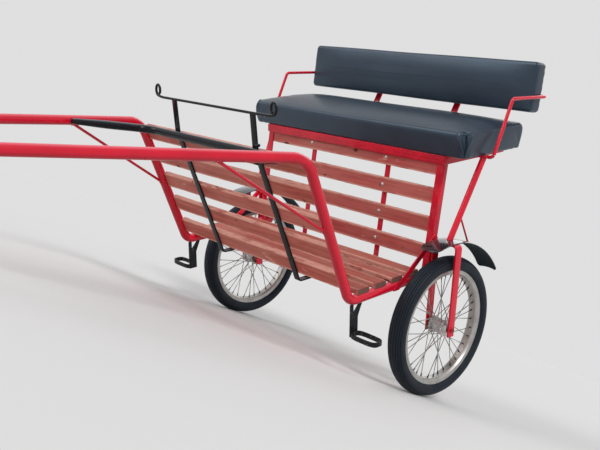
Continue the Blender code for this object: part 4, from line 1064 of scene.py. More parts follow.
def slats(name, cad, centres, size, axes, seed, finish_name="stained_slats"):
    """A slat of its own at each centre; size holds half, wide and thick, axes along and back."""
    for number, centre in enumerate(centres):
        surface, masks = slat(centre, *size, *axes, seed + number)
        piece("%s_%d" % (name, number + 1), [surface], finish_name,
              ["%s_%d" % (cad, number + 1)], masks=masks)


def dash_middles():
    """Middle of each dash slat on the line of the legs, from the top down."""
    top = vec(0.0, leg_y(DASH_FIRST_Z), DASH_FIRST_Z)
    return [top - LEG_DIR * (DASH_PITCH * k + (DASH_TOP_DROP if k == 0 else 0.0))
            for k in range(DASH_SLATS)]


class CartSlats(bpy.types.Operator):
    """Builds the wooden slats of dash, floor and panel, with bolt heads, tabs and straps"""
    bl_idname = "cart.slats"
    bl_label = "Slats"

    def execute(self, context):
        front = UPRIGHT_THICK / 2.0 + GAP
        centres = [at + LEG_BACK * (front + SLAT_THICK / 2.0) for at in dash_middles()]
        size = (FRAME_HALF - TUBE_RADIUS - GAP, DASH_WIDE, SLAT_THICK)
        slats("dash_board", "dash_slat", centres, size, (LEG_DIR, LEG_BACK), 11)
        low = FLOOR_TUBE_Z + TUBE_RADIUS + GAP
        centres = [vec(0.0, FLOOR_FIRST_Y + FLOOR_PITCH * k, low + FLOOR_THICK / 2.0)
                   for k in range(FLOOR_SLATS)]
        slats("floor_board", "floor_slat", centres, (FLOOR_HALF, FLOOR_WIDE, FLOOR_THICK),
              (BACK, UP), 31)
        depth = ANGLE_THICK + GAP + SLAT_THICK / 2.0
        top = vec(0.0, panel_y(PANEL_FIRST_Z), PANEL_FIRST_Z)
        centres = [top - POST_DIR * (PANEL_PITCH * k) + POST_BACK * depth
                   for k in range(PANEL_SLATS)]
        size = (POST_HALF - ANGLE_THICK - GAP, PANEL_WIDE, SLAT_THICK)
        axes = (POST_DIR, POST_BACK)
        slats("panel_board", "panel_slat", centres, size, axes, 51, "sky_tinted_panel")
        heads = [button(at + vec(side * STRAP_X, 0.0, 0.0) - POST_BACK * SLAT_THICK / 2.0,
                        -POST_BACK, details().bolt_radius, BOLT_HEAD_HIGH)
                 for at in centres for side in (-1.0, 1.0)]
        piece("panel_bolts", heads, "bolt_plate")

        behind = LEG_BACK * (front + SLAT_THICK + GAP + CLEAT_THICK / 2.0)
        strap_z = FLOOR_TUBE_Z + TUBE_RADIUS - STRAP_THICK / 2.0
        high_z = SEAT_TOP_Z - ANGLE_THICK - GAP
        depth = ANGLE_THICK + 2.0 * GAP + SLAT_THICK + STRAP_THICK / 2.0
        for word, side in SIDES:
            x = side * (FRAME_HALF - TUBE_RADIUS - GAP - CLEAT_WIDE / 2.0)
            tabs = []
            for at in dash_middles():
                middle = at + behind + vec(x, 0.0, 0.0)
                ends = [middle + LEG_DIR * DASH_WIDE * share for share in (-0.42, 0.42)]
                tabs.append(strip(ends, CLEAT_WIDE, CLEAT_THICK, ACROSS, 0.0008))
            piece("dash_tabs_" + word, tabs, "red_flat_bar", ["dash_cleat_" + word])
            x = side * STRAP_X
            high = vec(x, panel_y(high_z), high_z) + POST_BACK * depth
            low = high - POST_DIR * (high[2] - STRAP_LOW_Z) / POST_DIR[2]
            flat = [(x, STRAP_FRONT_Y, strap_z), (x, STRAP_REAR_Y, strap_z)]
            parts = [strip([high, low], STRAP_WIDE, STRAP_THICK, ACROSS,
                           planes=((vec(0.0, 0.0, high_z), UP), None)),
                     strip(flat, STRAP_WIDE, STRAP_THICK, ACROSS)]
            piece("strap_bar_" + word, parts, "red_flat_bar", ["strap_" + word], bevel=BAR_BEVEL)
        return {"FINISHED"}


def fork_half():
    """Wheel middle to the middle of a fork leg."""
    return HALF_TRACK - FRAME_HALF - TUBE_RADIUS - GAP - FORK_THICK / 2.0


def crown_z():
    """Middle of the fork crown."""
    inner = GUARD_RADIUS - GUARD_CROWN - GUARD_THICK / 2.0
    under = math.sqrt(inner ** 2 - (FORK_LEAN + FORK_WIDE / 2.0) ** 2)
    return WHEEL_RADIUS + under - GAP - FORK_THICK / 2.0


def side_plate(side):
    """The notched flat bar that braces the post: it runs from a to b, is cut level at the crown of
    the fork, along the fork's leg and level at its foot."""
    a, b = vec(*SIDE_BRACE[0]), vec(*SIDE_BRACE[1])
    along = unit(b - a)
    down = vec(along[1], -along[0])
    slope = FORK_LEAN / (crown_z() - WHEEL_RADIUS)
    clear = FORK_WIDE / 2.0 * math.hypot(1.0, slope) + GAP
    crown = crown_z() + FORK_THICK / 2.0 + GAP
    f = a + down * SIDE_BRACE_WIDE
    reach = (slope * (f[1] - WHEEL_RADIUS) - clear - f[0]) / (along[0] - slope * along[1])
    e = f + along * reach
    d = vec(slope * (crown - WHEEL_RADIUS) - clear, crown)
    c = b + down * ((b[1] - crown) / along[0])
    lowest = FLOOR_TUBE_Z - TUBE_RADIUS * 0.7
    g = a + down * ((lowest - a[1]) / down[1])
    f = f + along * ((lowest - f[1]) / along[1])
    near = side * (FRAME_HALF + TUBE_RADIUS + GAP)
    return plate([near, near + side * SIDE_BRACE_THICK], [a, b, c, d, e, f, g])


class CartSeatFrame(bpy.types.Operator):
    """Builds the angle-iron seat frame, posts and side braces"""
    bl_idname = "cart.seat_frame"
    bl_label = "Seat frame"

    def execute(self, context):
        w, t = ANGLE_WIDE, ANGLE_THICK
        section = eased([(0.0, 0.0), (0.0, w), (t, w), (t, t), (w, t), (w, 0.0)], 0.0013)
        front, rear = seat_front(), seat_rear()
        signs = np.array([(-1.0, -1.0), (1.0, -1.0), (1.0, 1.0), (-1.0, 1.0)])
        reach = vec(POST_HALF + GAP + t, (rear - front) / 2.0)
        flat = vec(0.0, (front + rear) / 2.0) + signs[:, None] * (reach - section[None, :, :1])
        high = np.broadcast_to(SEAT_TOP_Z - section[None, :, 1:], (4, len(section), 1))
        piece("seat_angle", [skin(np.concatenate([flat, high], -1), wrap=True)], "red_flat_bar",
              ["seat_frame"])
        w = POST_WIDE
        section = eased([(0.0, 0.0), (w, 0.0), (w, t), (t, t), (t, w), (0.0, w)], 0.0011)
        z = vec(FLOOR_TUBE_Z + TUBE_RADIUS + GAP, SEAT_TOP_Z - t - GAP)[:, None]
        for word, side in SIDES:
            rings = np.stack([side * (POST_HALF - section[None, :, 0]) + 0.0 * z,
                              panel_y(z) + section[None, :, 1] / POST_BACK[1],
                              z + 0.0 * section[None, :, 0]], -1)
            piece("post_" + word, [skin(rings)], "red_flat_bar", ["seat_post_" + word])
            piece("side_stay_" + word, [side_plate(side)], "red_flat_bar",
                  ["side_brace_" + word], bevel=0.0007)
        return {"FINISHED"}


def block(half, deep, profile, corner):
    """Rings of a padded block about its middle: for each (inset, z) a rectangle smaller by the
    inset, its corners arcs, its sides sampled closer near the corners. Returns the points' grid."""
    inset, z = profile[:, 0], profile[:, 1]
    hx, hy = half - inset, deep / 2.0 - inset
    radius = np.minimum(np.maximum(corner - inset, corner * 0.25), np.minimum(hx, hy) * 0.9)
    ring = []
    for k, (sx, sy, count) in enumerate(((1, 1, 72), (-1, 1, 30), (-1, -1, 72), (1, -1, 30))):
        angle = math.pi / 2.0 * (k + np.linspace(0.0, 1.0, 41))
        cx, cy = sx * (hx - radius), sy * (hy - radius)
        arc = np.stack([cx[:, None] + radius[:, None] * np.cos(angle)[None],
                        cy[:, None] + radius[:, None] * np.sin(angle)[None]], -1)
        nx, ny = ((-1, 1), (-1, -1), (1, -1), (1, 1))[k]
        start = math.pi / 2.0 * (k + 1)
        end = np.stack([nx * (hx - radius) + radius * math.cos(start),
                        ny * (hy - radius) + radius * math.sin(start)], -1)[:, None]
        t = (1.0 - np.cos(math.pi * np.linspace(0.0, 1.0, count + 1)[1:-1])) / 2.0
        ring += [arc, arc[:, -1:] * (1.0 - t[None, :, None]) + end * t[None, :, None]]
    flat = np.concatenate(ring, 1)
    return np.concatenate([flat, np.broadcast_to(z[:, None, None], (*flat.shape[:2], 1))], -1)


def block_normals(grid):
    """Outward normals of a grid of closed rings: the cross product of its two directions."""
    around = np.roll(grid, -1, 1) - np.roll(grid, 1, 1)
    normal = np.cross(around, np.gradient(grid, axis=0))
    return normal / np.maximum(np.linalg.norm(normal, axis=-1, keepdims=True), 1e-12)


def creased(grid, normals, creases):
    """Moves points along their normals near line segments: depth times a bell curve of the distance
    to the segment, fading towards the segment's ends."""
    height = np.zeros(grid.shape[:2])
    for start, end, depth, width in creases:
        start, end = np.array(start, float), np.array(end, float)
        line = end - start
        along = np.clip(((grid - start) @ line) / (line @ line), -0.15, 1.15)
        away = np.linalg.norm(grid - (start + along[..., None] * line), axis=-1)
        fade = np.clip(1.0 - np.abs(along - 0.5) * 1.55, 0.0, 1.0) ** 0.6
        height += depth * fade * np.exp(-(away / width) ** 2)
    return grid + normals * height[..., None]


def pleated(grid, normals, corners, wide, high, depth):
    """Corner pleats of a sewn cover: round each upright corner (its centre, outward turn and
    radius) a V that opens from the foot to the given height is pressed in by a smooth step, with a
    raised lip along each of its sides and a sharp crease down its middle."""
    height = np.zeros(grid.shape[:2])
    for (cx, cy), turn, radius in corners:
        x, y, z = grid[..., 0] - cx, grid[..., 1] - cy, grid[..., 2]
        off = (np.arctan2(y, x) - turn + math.pi) % (2.0 * math.pi) - math.pi
        s = off * radius
        open_at = wide * np.clip(z / high, 0.06, 1.0)
        fade = np.clip((high * 1.16 - z) / (high * 0.20), 0.0, 1.0)
        fade = fade * np.clip(z / high + 0.25, 0.0, 1.0)
        fade = np.where((np.hypot(x, y) < radius * 0.5) | (np.abs(off) > 1.5), 0.0, fade)
        pressed = 1.0 / (1.0 + np.exp((np.abs(s) / open_at - 0.72) * 9.0))
        lips = np.exp(-((np.abs(s) - open_at) / (wide * 0.20)) ** 2)
        seam = np.exp(-((s - open_at * 0.25) / (wide * 0.10)) ** 2) * np.clip(z / high, 0.0, 1.0)
        height += fade * depth * (-pressed + 0.42 * lips - 0.55 * seam)
    return grid + normals * height[..., None]


def smooth_profile(points, rounds=3):
    """Open polyline whose corners are cut at a quarter and three quarters, round after round."""
    points = np.array(points, float)
    for _ in range(rounds):
        a = points[:-1] * 0.75 + points[1:] * 0.25
        b = points[:-1] * 0.25 + points[1:] * 0.75
        points = np.vstack([points[:1], np.stack([a, b], 1).reshape(-1, 2), points[-1:]])
    return points


def refined(points, step):
    """Polyline resampled by linear interpolation to about the given spacing."""
    lengths = np.linalg.norm(np.diff(points, axis=0), axis=1)
    reach = np.concatenate([[0.0], np.cumsum(lengths)])
    at = np.linspace(0.0, reach[-1], int(reach[-1] / step) + 1)
    return np.stack([np.interp(at, reach, points[:, 0]), np.interp(at, reach, points[:, 1])], -1)


def board_rear():
    """Rear edge of the seat board."""
    return seat_rear() - BOARD_REAR_SHORT - CUSHION_BULGE


def seat_creases():
    """Folds of the seat cover, in the block's own coordinates, as start, end, depth and width."""
    hx = BOARD_HALF + CUSHION_BULGE
    hy = (board_rear() - BOARD_FRONT_Y) / 2.0 + CUSHION_BULGE
    folds = []
    for sx in (1.0, -1.0):
        for start, end, depth, width in (
                ((hx - 0.052, -hy, -0.006), (hx - 0.098, -hy, 0.052), -0.0022, 0.0070),
                ((hx - 0.046, -hy, 0.006), (hx - 0.060, -hy, 0.070), -0.0014, 0.0050),
                ((hx, -hy + 0.060, -0.006), (hx, -hy + 0.105, 0.060), -0.0020, 0.0080),
                ((hx - 0.004, hy, 0.000), (hx - 0.012, hy - 0.010, 0.078), -0.0070, 0.0060),
                ((hx, hy - 0.034, 0.004), (hx, hy - 0.070, 0.055), -0.0020, 0.0070)):
            folds.append(((sx * start[0], *start[1:]), (sx * end[0], *end[1:]), depth, width))
    return folds


def padded_block(half, deep, wall, edge, crown, corner, folds, seed):
    """Grid of a sewn padded block on z = 0 whose cover runs on down over a board's edge: the wall's
    (inset, z) points, corners cut off round, a top that swells by crown (1 - (x / half)^8)
    (1 - (2 y / deep)^2), then slow sine unevenness, small gathers along the foot, and folds."""
    rng = np.random.default_rng(seed)
    share = np.linspace(1.0 - wall[-1][0] / (deep / 2.0), 0.012, 9)[1:]
    top = np.stack([deep / 2.0 * (1.0 - share), np.full(len(share), edge)], -1)
    skirt = [(COVER_TUCK, 0.0), (COVER_TUCK, -BOARD_THICK)]
    profile = refined(np.vstack([skirt, smooth_profile(np.vstack([wall, top]))]), COVER_STEP)
    grid = block(half, deep, profile, corner)
    off = np.clip(1.0 - np.abs(grid[..., 0] / half) ** 8, 0.0, 1.0)
    grid[..., 2] += crown * off * np.clip(1.0 - (grid[..., 1] * 2.0 / deep) ** 2, 0.0, 1.0)
    normals = block_normals(grid)
    low = len(grid) // 3
    if (normals[low] * (grid[low] - vec(0.0, 0.0, edge))).sum() < 0.0:
        normals = -normals
    uneven = np.zeros(grid.shape[:2])
    for _ in range(COVER_WAVES):
        wave = rng.normal(0.0, 1.0, 3) * vec(9.0, 16.0, 22.0)
        uneven += COVER_UNEVEN * np.sin(grid @ wave + rng.uniform(0.0, 6.3))
    above = grid[..., 2] + BOARD_THICK
    foot = GATHER_DEEP * np.exp(-(above / GATHER_HIGH) ** 2)
    uneven *= np.clip(above / 0.01, 0.0, 1.0) * np.clip(np.abs(grid[..., 1]) / 0.03, 0.0, 1.0)
    around = np.cumsum(np.linalg.norm(grid[5] - np.roll(grid[5], 1, 0), axis=-1)) * 2.0 * math.pi
    gather = np.sin(around / GATHER_LONG[0]) + 0.6 * np.sin(around / GATHER_LONG[1] + 1.0)
    grid = grid + normals * (uneven + foot * gather[None])[..., None]
    return creased(grid, normals, folds)


def dark_board(name, surface, cad):
    """Plain board, worn alike all over."""
    even = np.ones(len(surface[0]))
    piece(name, [surface], "dark_board", [cad],
          masks={"edge": 0.4 * even, "sawn": 0.0 * even, "tone": 0.0 * even})


class CartSeat(bpy.types.Operator):
    """Builds the seat cushion and the board below it"""
    bl_idname = "cart.seat"
    bl_label = "Seat"

    def execute(self, context):
        low, rear = SEAT_TOP_Z + GAP, board_rear()
        deep = rear - BOARD_FRONT_Y
        middle = vec(0.0, (rear + BOARD_FRONT_Y) / 2.0, low + BOARD_THICK + GAP)
        e, b, w = CUSHION_EDGE, CUSHION_BULGE, BOARD_THICK
        wall = [(COVER_TUCK, -w), (-0.001, -w), (-b * 0.35, -w + 0.004), (-b * 0.70, e * 0.22),
                (-b, e * 0.58), (-b, e - 0.016), (-b * 0.55, e - 0.002), (0.010, e)]
        grid = padded_block(BOARD_HALF, deep, wall, e, CUSHION_CROWN, SEAT_ROUND, seat_creases(), 5)
        corners = [((sx * (BOARD_HALF - SEAT_ROUND), SEAT_ROUND - deep / 2.0),
                    math.atan2(-1.0, sx), SEAT_ROUND + b) for sx in (1.0, -1.0)]
        grid = pleated(grid, block_normals(grid), corners, PLEAT_WIDE, PLEAT_HIGH, PLEAT_DEEP)
        cushion = piece("seat_pad", [skin(grid + middle)], "grained_vinyl", ["seat_cushion"])
        reach, high = BOARD_HALF - BOARD_TRIM, low + BOARD_THICK / 2.0
        path = [(-reach, middle[1], high), (reach, middle[1], high)]
        board = strip(path, deep - 2.0 * BOARD_TRIM, BOARD_THICK, BACK, BOARD_EASE)
        dark_board("seat_base", board, "seat_board")
        return {"FINISHED"}


class CartBackRest(bpy.types.Operator):
    """Builds the back cushion, its board and supports, and the bent arm rods"""
    bl_idname = "cart.back_rest"
    bl_label = "Back rest"

    def execute(self, context):
        crown = BACK_THICK * 0.2
        hx, hy = BACK_HALF, BACK_HIGH / 2.0
        folds = [((sx * hx, sy * hy, -0.006), (sx * (hx - 0.004), sy * (hy - 0.006), 0.046),
                  -0.0022, 0.004) for sx in (1.0, -1.0) for sy in (-1.0, 1.0)]
        e, b, w = BACK_THICK - crown, BACK_INSET, BOARD_THICK
        wall = [(COVER_TUCK, -w), (-b * 0.70, -w), (-b * 0.92, -w + 0.003), (-b, e * 0.30),
                (-b, e * 0.66), (-b * 0.92, e - 0.006), (-b * 0.20, e), (0.008, e)]
        grid = padded_block(hx - b, BACK_HIGH - 2.0 * b, wall, e, crown, 0.006, folds, 9)
        stood = np.stack([grid[..., 0], BACK_THICK - grid[..., 2], grid[..., 1] + hy], -1)
        cushion = piece("back_pad", [skin(leaned(stood))], "grained_vinyl", ["back_cushion"])
        front = BACK_THICK + GAP
        reach, mid = hx - b - BOARD_TRIM, front + BOARD_THICK / 2.0
        path = np.array([(-reach, mid, hy), (reach, mid, hy)])
        section = bar(BACK_HIGH - 2.0 * (b + BOARD_TRIM), BOARD_THICK, BOARD_EASE)
        dark_board("back_base", skin(leaned(carried(path, section, UP))), "back_board")

        off = front + BOARD_THICK + GAP + SUPPORT_THICK / 2.0
        rear = seat_rear() + GAP + SUPPORT_THICK / 2.0
        rearward = leaned(BACK) - leaned(0.0 * BACK)
        bolts, brackets = [], []
        for word, side in SIDES:
            x = side * SUPPORT_X
            path = bent([leaned(vec(x, off, SUPPORT_TOP)), leaned(vec(x, off, 0.0)),
                         (x, rear, SEAT_TOP_Z + BOARD_THICK + 0.030),
                         (x, rear, SEAT_TOP_Z - ANGLE_WIDE)], SUPPORT_THICK * 3.0, 8)
            piece("back_stay_" + word, [strip(path, SUPPORT_WIDE, SUPPORT_THICK, ACROSS)],
                  "red_flat_bar", ["back_support_" + word], bevel=BAR_BEVEL)
            for high in SUPPORT_BOLTS:
                at = leaned(vec(x, off + SUPPORT_THICK / 2.0, high))
                bolts.append(hexagon(at + rearward * 0.002, rearward, *BOLT))
            at = vec(x, rear + SUPPORT_THICK / 2.0 + 0.002, SEAT_TOP_Z - ANGLE_WIDE / 2.0)
            bolts.append(hexagon(at, BACK, *BOLT))
            behind = leaned(vec(0.0, BACK_THICK + 2.0 * GAP + BOARD_THICK + ARM_RADIUS,
                                (ARM_TOP_Z - BACK_BOTTOM_Z) / math.cos(BACK_LEAN)))
            foot = (bracket_y(), bracket_z())
            points = [(side * (CARRIER_HALF - 0.004), *foot), (side * ARM_X, *foot),
                      (side * ARM_X, ARM_BEND_Y, ARM_TOP_Z), (side * ARM_X, *behind[1:]),
                      (side * ARM_HOOK_X, *behind[1:])]
            first = (ARM_X - CARRIER_HALF - 2.0 * GAP) * 0.9
            path = bent(points, [first, ARM_BEND, ARM_BEND * 0.8], 12)
            piece("arm_" + word, [rod(path, ARM_RADIUS, vec(side * 0.3, 0.4, 0.85), 24)],
                  "red_gloss", ["arm_rail_" + word])
            reach = vec(POST_HALF + ANGLE_THICK, CARRIER_HALF)
            line = side * reach[:, None] * ACROSS + vec(0.0, *foot)
            brackets.append(strip(line, CARRIER_WIDE, CARRIER_THICK, BACK))
        piece("arm_brackets", brackets, "red_flat_bar", ["arm_carrier"], bevel=BAR_BEVEL)
        piece("back_bolts", bolts, "bolt_plate")
        return {"FINISHED"}


def guard_top(x, y):
    """Point on the guard's outer face above the wheel's middle plane, and its normal."""
    out = GUARD_RADIUS + GUARD_THICK / 2.0 + GAP
    at = vec(x, y, WHEEL_RADIUS + math.sqrt(out ** 2 - y ** 2))
    return at, unit(vec(0.0, y, at[2] - WHEEL_RADIUS))


def guard_rings():
    """Rings of a mudguard about the wheel's middle: a thin crowned strip, its edges thickened to a
    lip, turned about the axle, drawn in at its ends to rounded corners."""
    share = np.linspace(-1.0, 1.0, 33)
    lip = GUARD_LIP * np.clip((np.abs(share) - 0.93) / 0.07, 0.0, 1.0)
    r = GUARD_RADIUS - GUARD_CROWN * share ** 2
    across = share * GUARD_WIDE / 2.0
    section = np.vstack([np.stack([across, r + GUARD_THICK / 2.0 + lip], -1),
                         np.stack([across, r - GUARD_THICK / 2.0 - lip], -1)[::-1]])
    along = 0.5 - 0.5 * np.cos(math.pi * np.linspace(0.0, 1.0, GUARD_STATIONS))
    angles = GUARD_SPAN[0] - 0.0004 + (GUARD_SPAN[1] - GUARD_SPAN[0] + 0.0008) * along
    rings = turned(section, angles)
    for left, radius in zip((angles - angles[0], angles[-1] - angles), GUARD_ENDS):
        near = np.clip(1.0 - left * GUARD_RADIUS / radius, 0.0, 1.0)
        cut = radius - radius * np.sqrt(1.0 - near ** 2)
        rings[..., 0] *= 1.0 - cut[:, None] / (GUARD_WIDE / 2.0)
    return rings


def on_axle(side, reach):
    """Points on the axle line, the given lengths outside the wheel's middle."""
    middle = vec(side * HALF_TRACK, 0.0, WHEEL_RADIUS)
    return middle + side * np.atleast_1d(reach)[:, None] * ACROSS


class CartForks(bpy.types.Operator):
    """Builds the forks, spindles, mudguards, struts and stays"""
    bl_idname = "cart.forks"
    bl_label = "Forks and mudguards"

    def execute(self, context):
        half, top = fork_half(), crown_z()
        slope = FORK_LEAN / (top - WHEEL_RADIUS)
        out = half + FORK_THICK / 2.0
        end = out + GAP + NUT_THICK * 0.8
        threads = np.linspace(out + NUT_THICK * 0.52, end - 0.0006, THREADS)
        spindle = np.concatenate([[-out + FORK_THICK + GAP, out + NUT_THICK * 0.5], threads, [end]])
        ripple = 1.0 - THREAD_DEEP * (np.arange(THREADS) % 2)
        spindle_size = np.concatenate([[1.0, 1.0], ripple, [0.7]])
        guard = guard_rings()
        under = np.tile(np.repeat([0.0, 1.0], guard.shape[1] // 2), len(guard))
        for word, side in SIDES:
            x = side * HALF_TRACK
            hub = vec(x, 0.0, WHEEL_RADIUS)
            low = (-slope * FORK_BELOW, WHEEL_RADIUS - FORK_BELOW)
            path = bent([(x - half, *low), (x - half, FORK_LEAN, top), (x + half, FORK_LEAN, top),
                         (x + half, *low)], FORK_BEND, 10)
            fork = strip(path, FORK_WIDE + 0.0025, FORK_THICK, BACK, 0.0018)
            piece("fork_bar_" + word, [fork], "red_gloss", ["fork_" + word], bevel=0.0012)
            inside = half - FORK_THICK / 2.0 - 0.0034
            parts = [rod(on_axle(side, spindle), AXLE_RADIUS, UP, 20, spindle_size),
                     hexagon(on_axle(side, inside)[0], ACROSS, *LOCK_NUT),
                     rod(on_axle(side, vec(0.0004, 0.0014) + HUB_HALF), DISC_RADIUS, UP, 28)]
            piece("spindle_" + word, parts, "rusty_iron", ["axle_" + word])
            washer = vec(-0.0004, 0.0012) + out + GAP
            parts = [hexagon(on_axle(side, out + NUT_THICK * 0.36)[0], ACROSS, *END_NUT),
                     rod(on_axle(side, washer), WASHER_RADIUS, UP, 28)]
            piece("axle_nut_" + word, parts, "red_flat_bar")

            piece("guard_" + word, [skin(guard + hub)], "guard_black", ["mudguard_" + word],
                  masks={"under": under})

            foot, normal = guard_top(x, STRUT_FOOT_Y)
            high = vec(side * STRUT_TOP_X, bracket_y(), bracket_z() - CARRIER_THICK / 2.0 + GAP)
            strut = rod([foot, high], STRUT_RADIUS, ACROSS, 28,
                        planes=((foot, normal), (high, UP)))
            piece("strut_tube_" + word, [strut], "red_gloss", ["strut_" + word])
            rear, normal = guard_top(x, STAY_FOOT_Y)
            on_strut = foot * 0.7 + high * 0.3
            along = unit(high - foot)
            away = unit((rear - on_strut) - along * ((rear - on_strut) @ along))
            planes = ((rear, normal), (on_strut + away * STRUT_RADIUS, away))
            parts = [rod([rear, on_strut], STAY_RADIUS, ACROSS, 12, planes=planes),
                     weld(on_strut, unit(rear - on_strut), STAY_RADIUS, along, STRUT_RADIUS,
                          STAY_WELD, side),
                     button(rear + normal * 0.0005, normal, *STAY_HEAD)]
            piece("guard_rod_" + word, parts, "red_gloss", ["guard_stay_" + word])
        return {"FINISHED"}


class CartSteps(bpy.types.Operator):
    """Builds the two-pronged step hangers and their treads"""
    bl_idname = "cart.steps"
    bl_label = "Steps"

    def execute(self, context):
        top_z, low_z = FLOOR_TUBE_Z - TUBE_RADIUS + 0.0004, STEP_Z - STEP_BAND / 2.0
        front, rear = STEP_Y - STEP_WIDE / 2.0, STEP_Y + STEP_WIDE / 2.0
        splay, crotch = front + STEP_FORK, top_z - STEP_DROP
        outline = [(front, low_z), (rear, low_z), (rear, crotch - STEP_PRONG), (splay, top_z),
                   (splay - STEP_PRONG, top_z), (front + STEP_PRONG, crotch),
                   (front + STEP_PRONG, top_z), (front, top_z)]
        angle = np.arange(64) * 2.0 * math.pi / 64.0
        c, s = np.cos(angle), np.sin(angle)
        squared = np.stack([np.sign(c) * np.abs(c) ** 0.55, np.sign(s) * np.abs(s) ** 0.55], -1)
        a, b, t = STEP_REACH / 2.0, STEP_DEEP / 2.0, STEP_THICK / 2.0
        for word, side in SIDES:
            x = side * FRAME_HALF
            path = np.stack([x + side * a + (a - t) * squared[:, 0],
                             STEP_Y + (b - t) * squared[:, 1], STEP_Z + 0.0 * angle], -1)
            band = skin(carried(path, bar(STEP_BAND, STEP_THICK, 0.0014), UP, loop=True), wrap=True)
            piece("step_iron_" + word, [plate([x - t, x + t], outline), band], "black_iron",
                  ["step_" + word], bevel=0.0010)
        return {"FINISHED"}


def wheel_turns():
    """Angles around a wheel."""
    steps = details().wheel_steps
    return np.arange(steps) * 2.0 * math.pi / steps


def wheel_middle(side):
    """Middle of a wheel as parked."""
    return vec(side * HALF_TRACK, AXLE_Y, WHEEL_RADIUS)


class CartTyres(bpy.types.Operator):
    """Builds the ribbed tyres"""
    bl_idname = "cart.tyres"
    bl_label = "Tyres"

    def execute(self, context):
        angle = np.radians(np.linspace(-90.0, 90.0, 133))
        depth = np.zeros(len(angle))
        for middle in np.radians(GROOVES):
            depth += np.exp(-((angle - middle) / math.radians(2.0)) ** 4)
        cut = details().groove_depth * depth
        x = (TYRE_HALF - cut) * np.sin(angle)
        r = TYRE_BELLY + (WHEEL_RADIUS - TYRE_BELLY - cut) * np.cos(angle)
        lower = np.radians(np.linspace(0.0, 90.0, 15))[1:]
        bead, lip = RIM_HALF - 0.0034, RIM_RADIUS + GAP
        ridge = 0.0007 * np.exp(-((lower - math.radians(38.0)) / 0.09) ** 2)
        side_x = bead + (TYRE_HALF - bead) * np.cos(lower) + ridge
        side_r = TYRE_BELLY - (TYRE_BELLY - lip) * np.sin(lower)
        x = np.concatenate([-side_x[::-1], x, side_x, [bead, -bead]])
        r = np.concatenate([side_r[::-1], r, side_r, [RIM_BED + GAP, RIM_BED + GAP]])
        # These values mark the grooves, where painted shade darkens the tread.
        groove_shade = np.concatenate([0.0 * lower, depth, 0.0 * lower, [0.0, 0.0]])
        around = wheel_turns()
        rings = turned(np.stack([x, r], -1), around)
        for word, side in SIDES:
            piece("rubber_" + word, [skin(rings + wheel_middle(side), wrap=True)], "tyre_tread",
                  ["tyre_" + word], body="wheel_" + word, masks={"groove_shade": np.tile(groove_shade,
                  len(around))}, level=False)
        return {"FINISHED"}


def mirrored(half, between=(), after=()):
    """Eased section of a wheel part: one half, points between, that half mirrored in x and taken
    backwards, and points after."""
    other = (np.array(half) * vec(-1.0, 1.0))[::-1]
    return eased([*half, *between, *other, *after], SECTION_EASE)


class CartWheels(bpy.types.Operator):
    """Builds the rims, hubs, spokes and nipples"""
    bl_idname = "cart.wheels"
    bl_label = "Wheels"

    def execute(self, context):
        rim = turned(mirrored(RIM_SECTION, after=RIM_BED_ENDS), wheel_turns())
        quarter = np.arange(56) * 2.0 * math.pi / 56.0
        hub = turned(mirrored(HUB_SECTION, [(0.0, HUB_SWELL)]), quarter)
        disc = eased(DISC_SECTION, SECTION_EASE)
        family = np.arange(SPOKES) // (SPOKES // 4)
        number = np.arange(SPOKES) % (SPOKES // 4)
        flange = np.where(family < 2, 1.0, -1.0)
        lean = np.where(family % 2 == 0, 1.0, -1.0)
        at = 2.0 * math.pi * (number + 0.25 * family) / (SPOKES // 4)
        hub_at = at + lean * SPOKE_SWEEP
        near = np.stack([flange * (HUB_FLANGE_X + lean * 0.0019), SPOKE_CIRCLE * np.sin(hub_at),
                         SPOKE_CIRCLE * np.cos(hub_at)], -1)
        far = np.stack([flange * 0.0030, RIM_INNER * np.sin(at), RIM_INNER * np.cos(at)], -1)
        along = unit(far - near)
        first = unit(np.cross(along, ACROSS))
        second = np.cross(along, first)
        ring = circle(details().spoke_radius, 8)
        inward = vec(0.0130, 0.0125, 0.0030, 0.0)[:, None]
        for word, side in SIDES:
            body, middle = "wheel_" + word, wheel_middle(side)
            on_wheel = {"body": body, "level": False}
            piece("rim_" + word, [skin(rim + middle, wrap=True)], "rim_plate", [body], **on_wheel)
            piece("hub_" + word, [skin(hub + middle, wrap=True)], "hub_alloy", [body], **on_wheel)
            flipped = turned(disc * vec(side, 1.0), quarter) + middle
            piece("hub_disc_" + word, [skin(flipped, wrap=True)], "rusty_iron", **on_wheel)
            wires, nipples = [], []
            for k in range(SPOKES):
                plane = ring[:, :1] * first[k] + ring[:, 1:] * second[k]
                wires.append(skin(np.stack([near[k] + plane, far[k] + plane]) + middle))
                outer = flange[k] * lean[k] * ACROSS
                wires.append(button(near[k] + outer * 0.0012 + middle, outer, *SPOKE_HEAD, 8, 3))
                line = far[k] - along[k] * inward + middle
                nipples.append(rod(line, NIPPLE_RADIUS, ACROSS, 8, [0.6, 0.8, 1.0, 1.35]))
            piece("spokes_" + word, wires, "spoke_wire", [body], **on_wheel)
            piece("nipples_" + word, nipples, "black_iron", **on_wheel)
        return {"FINISHED"}


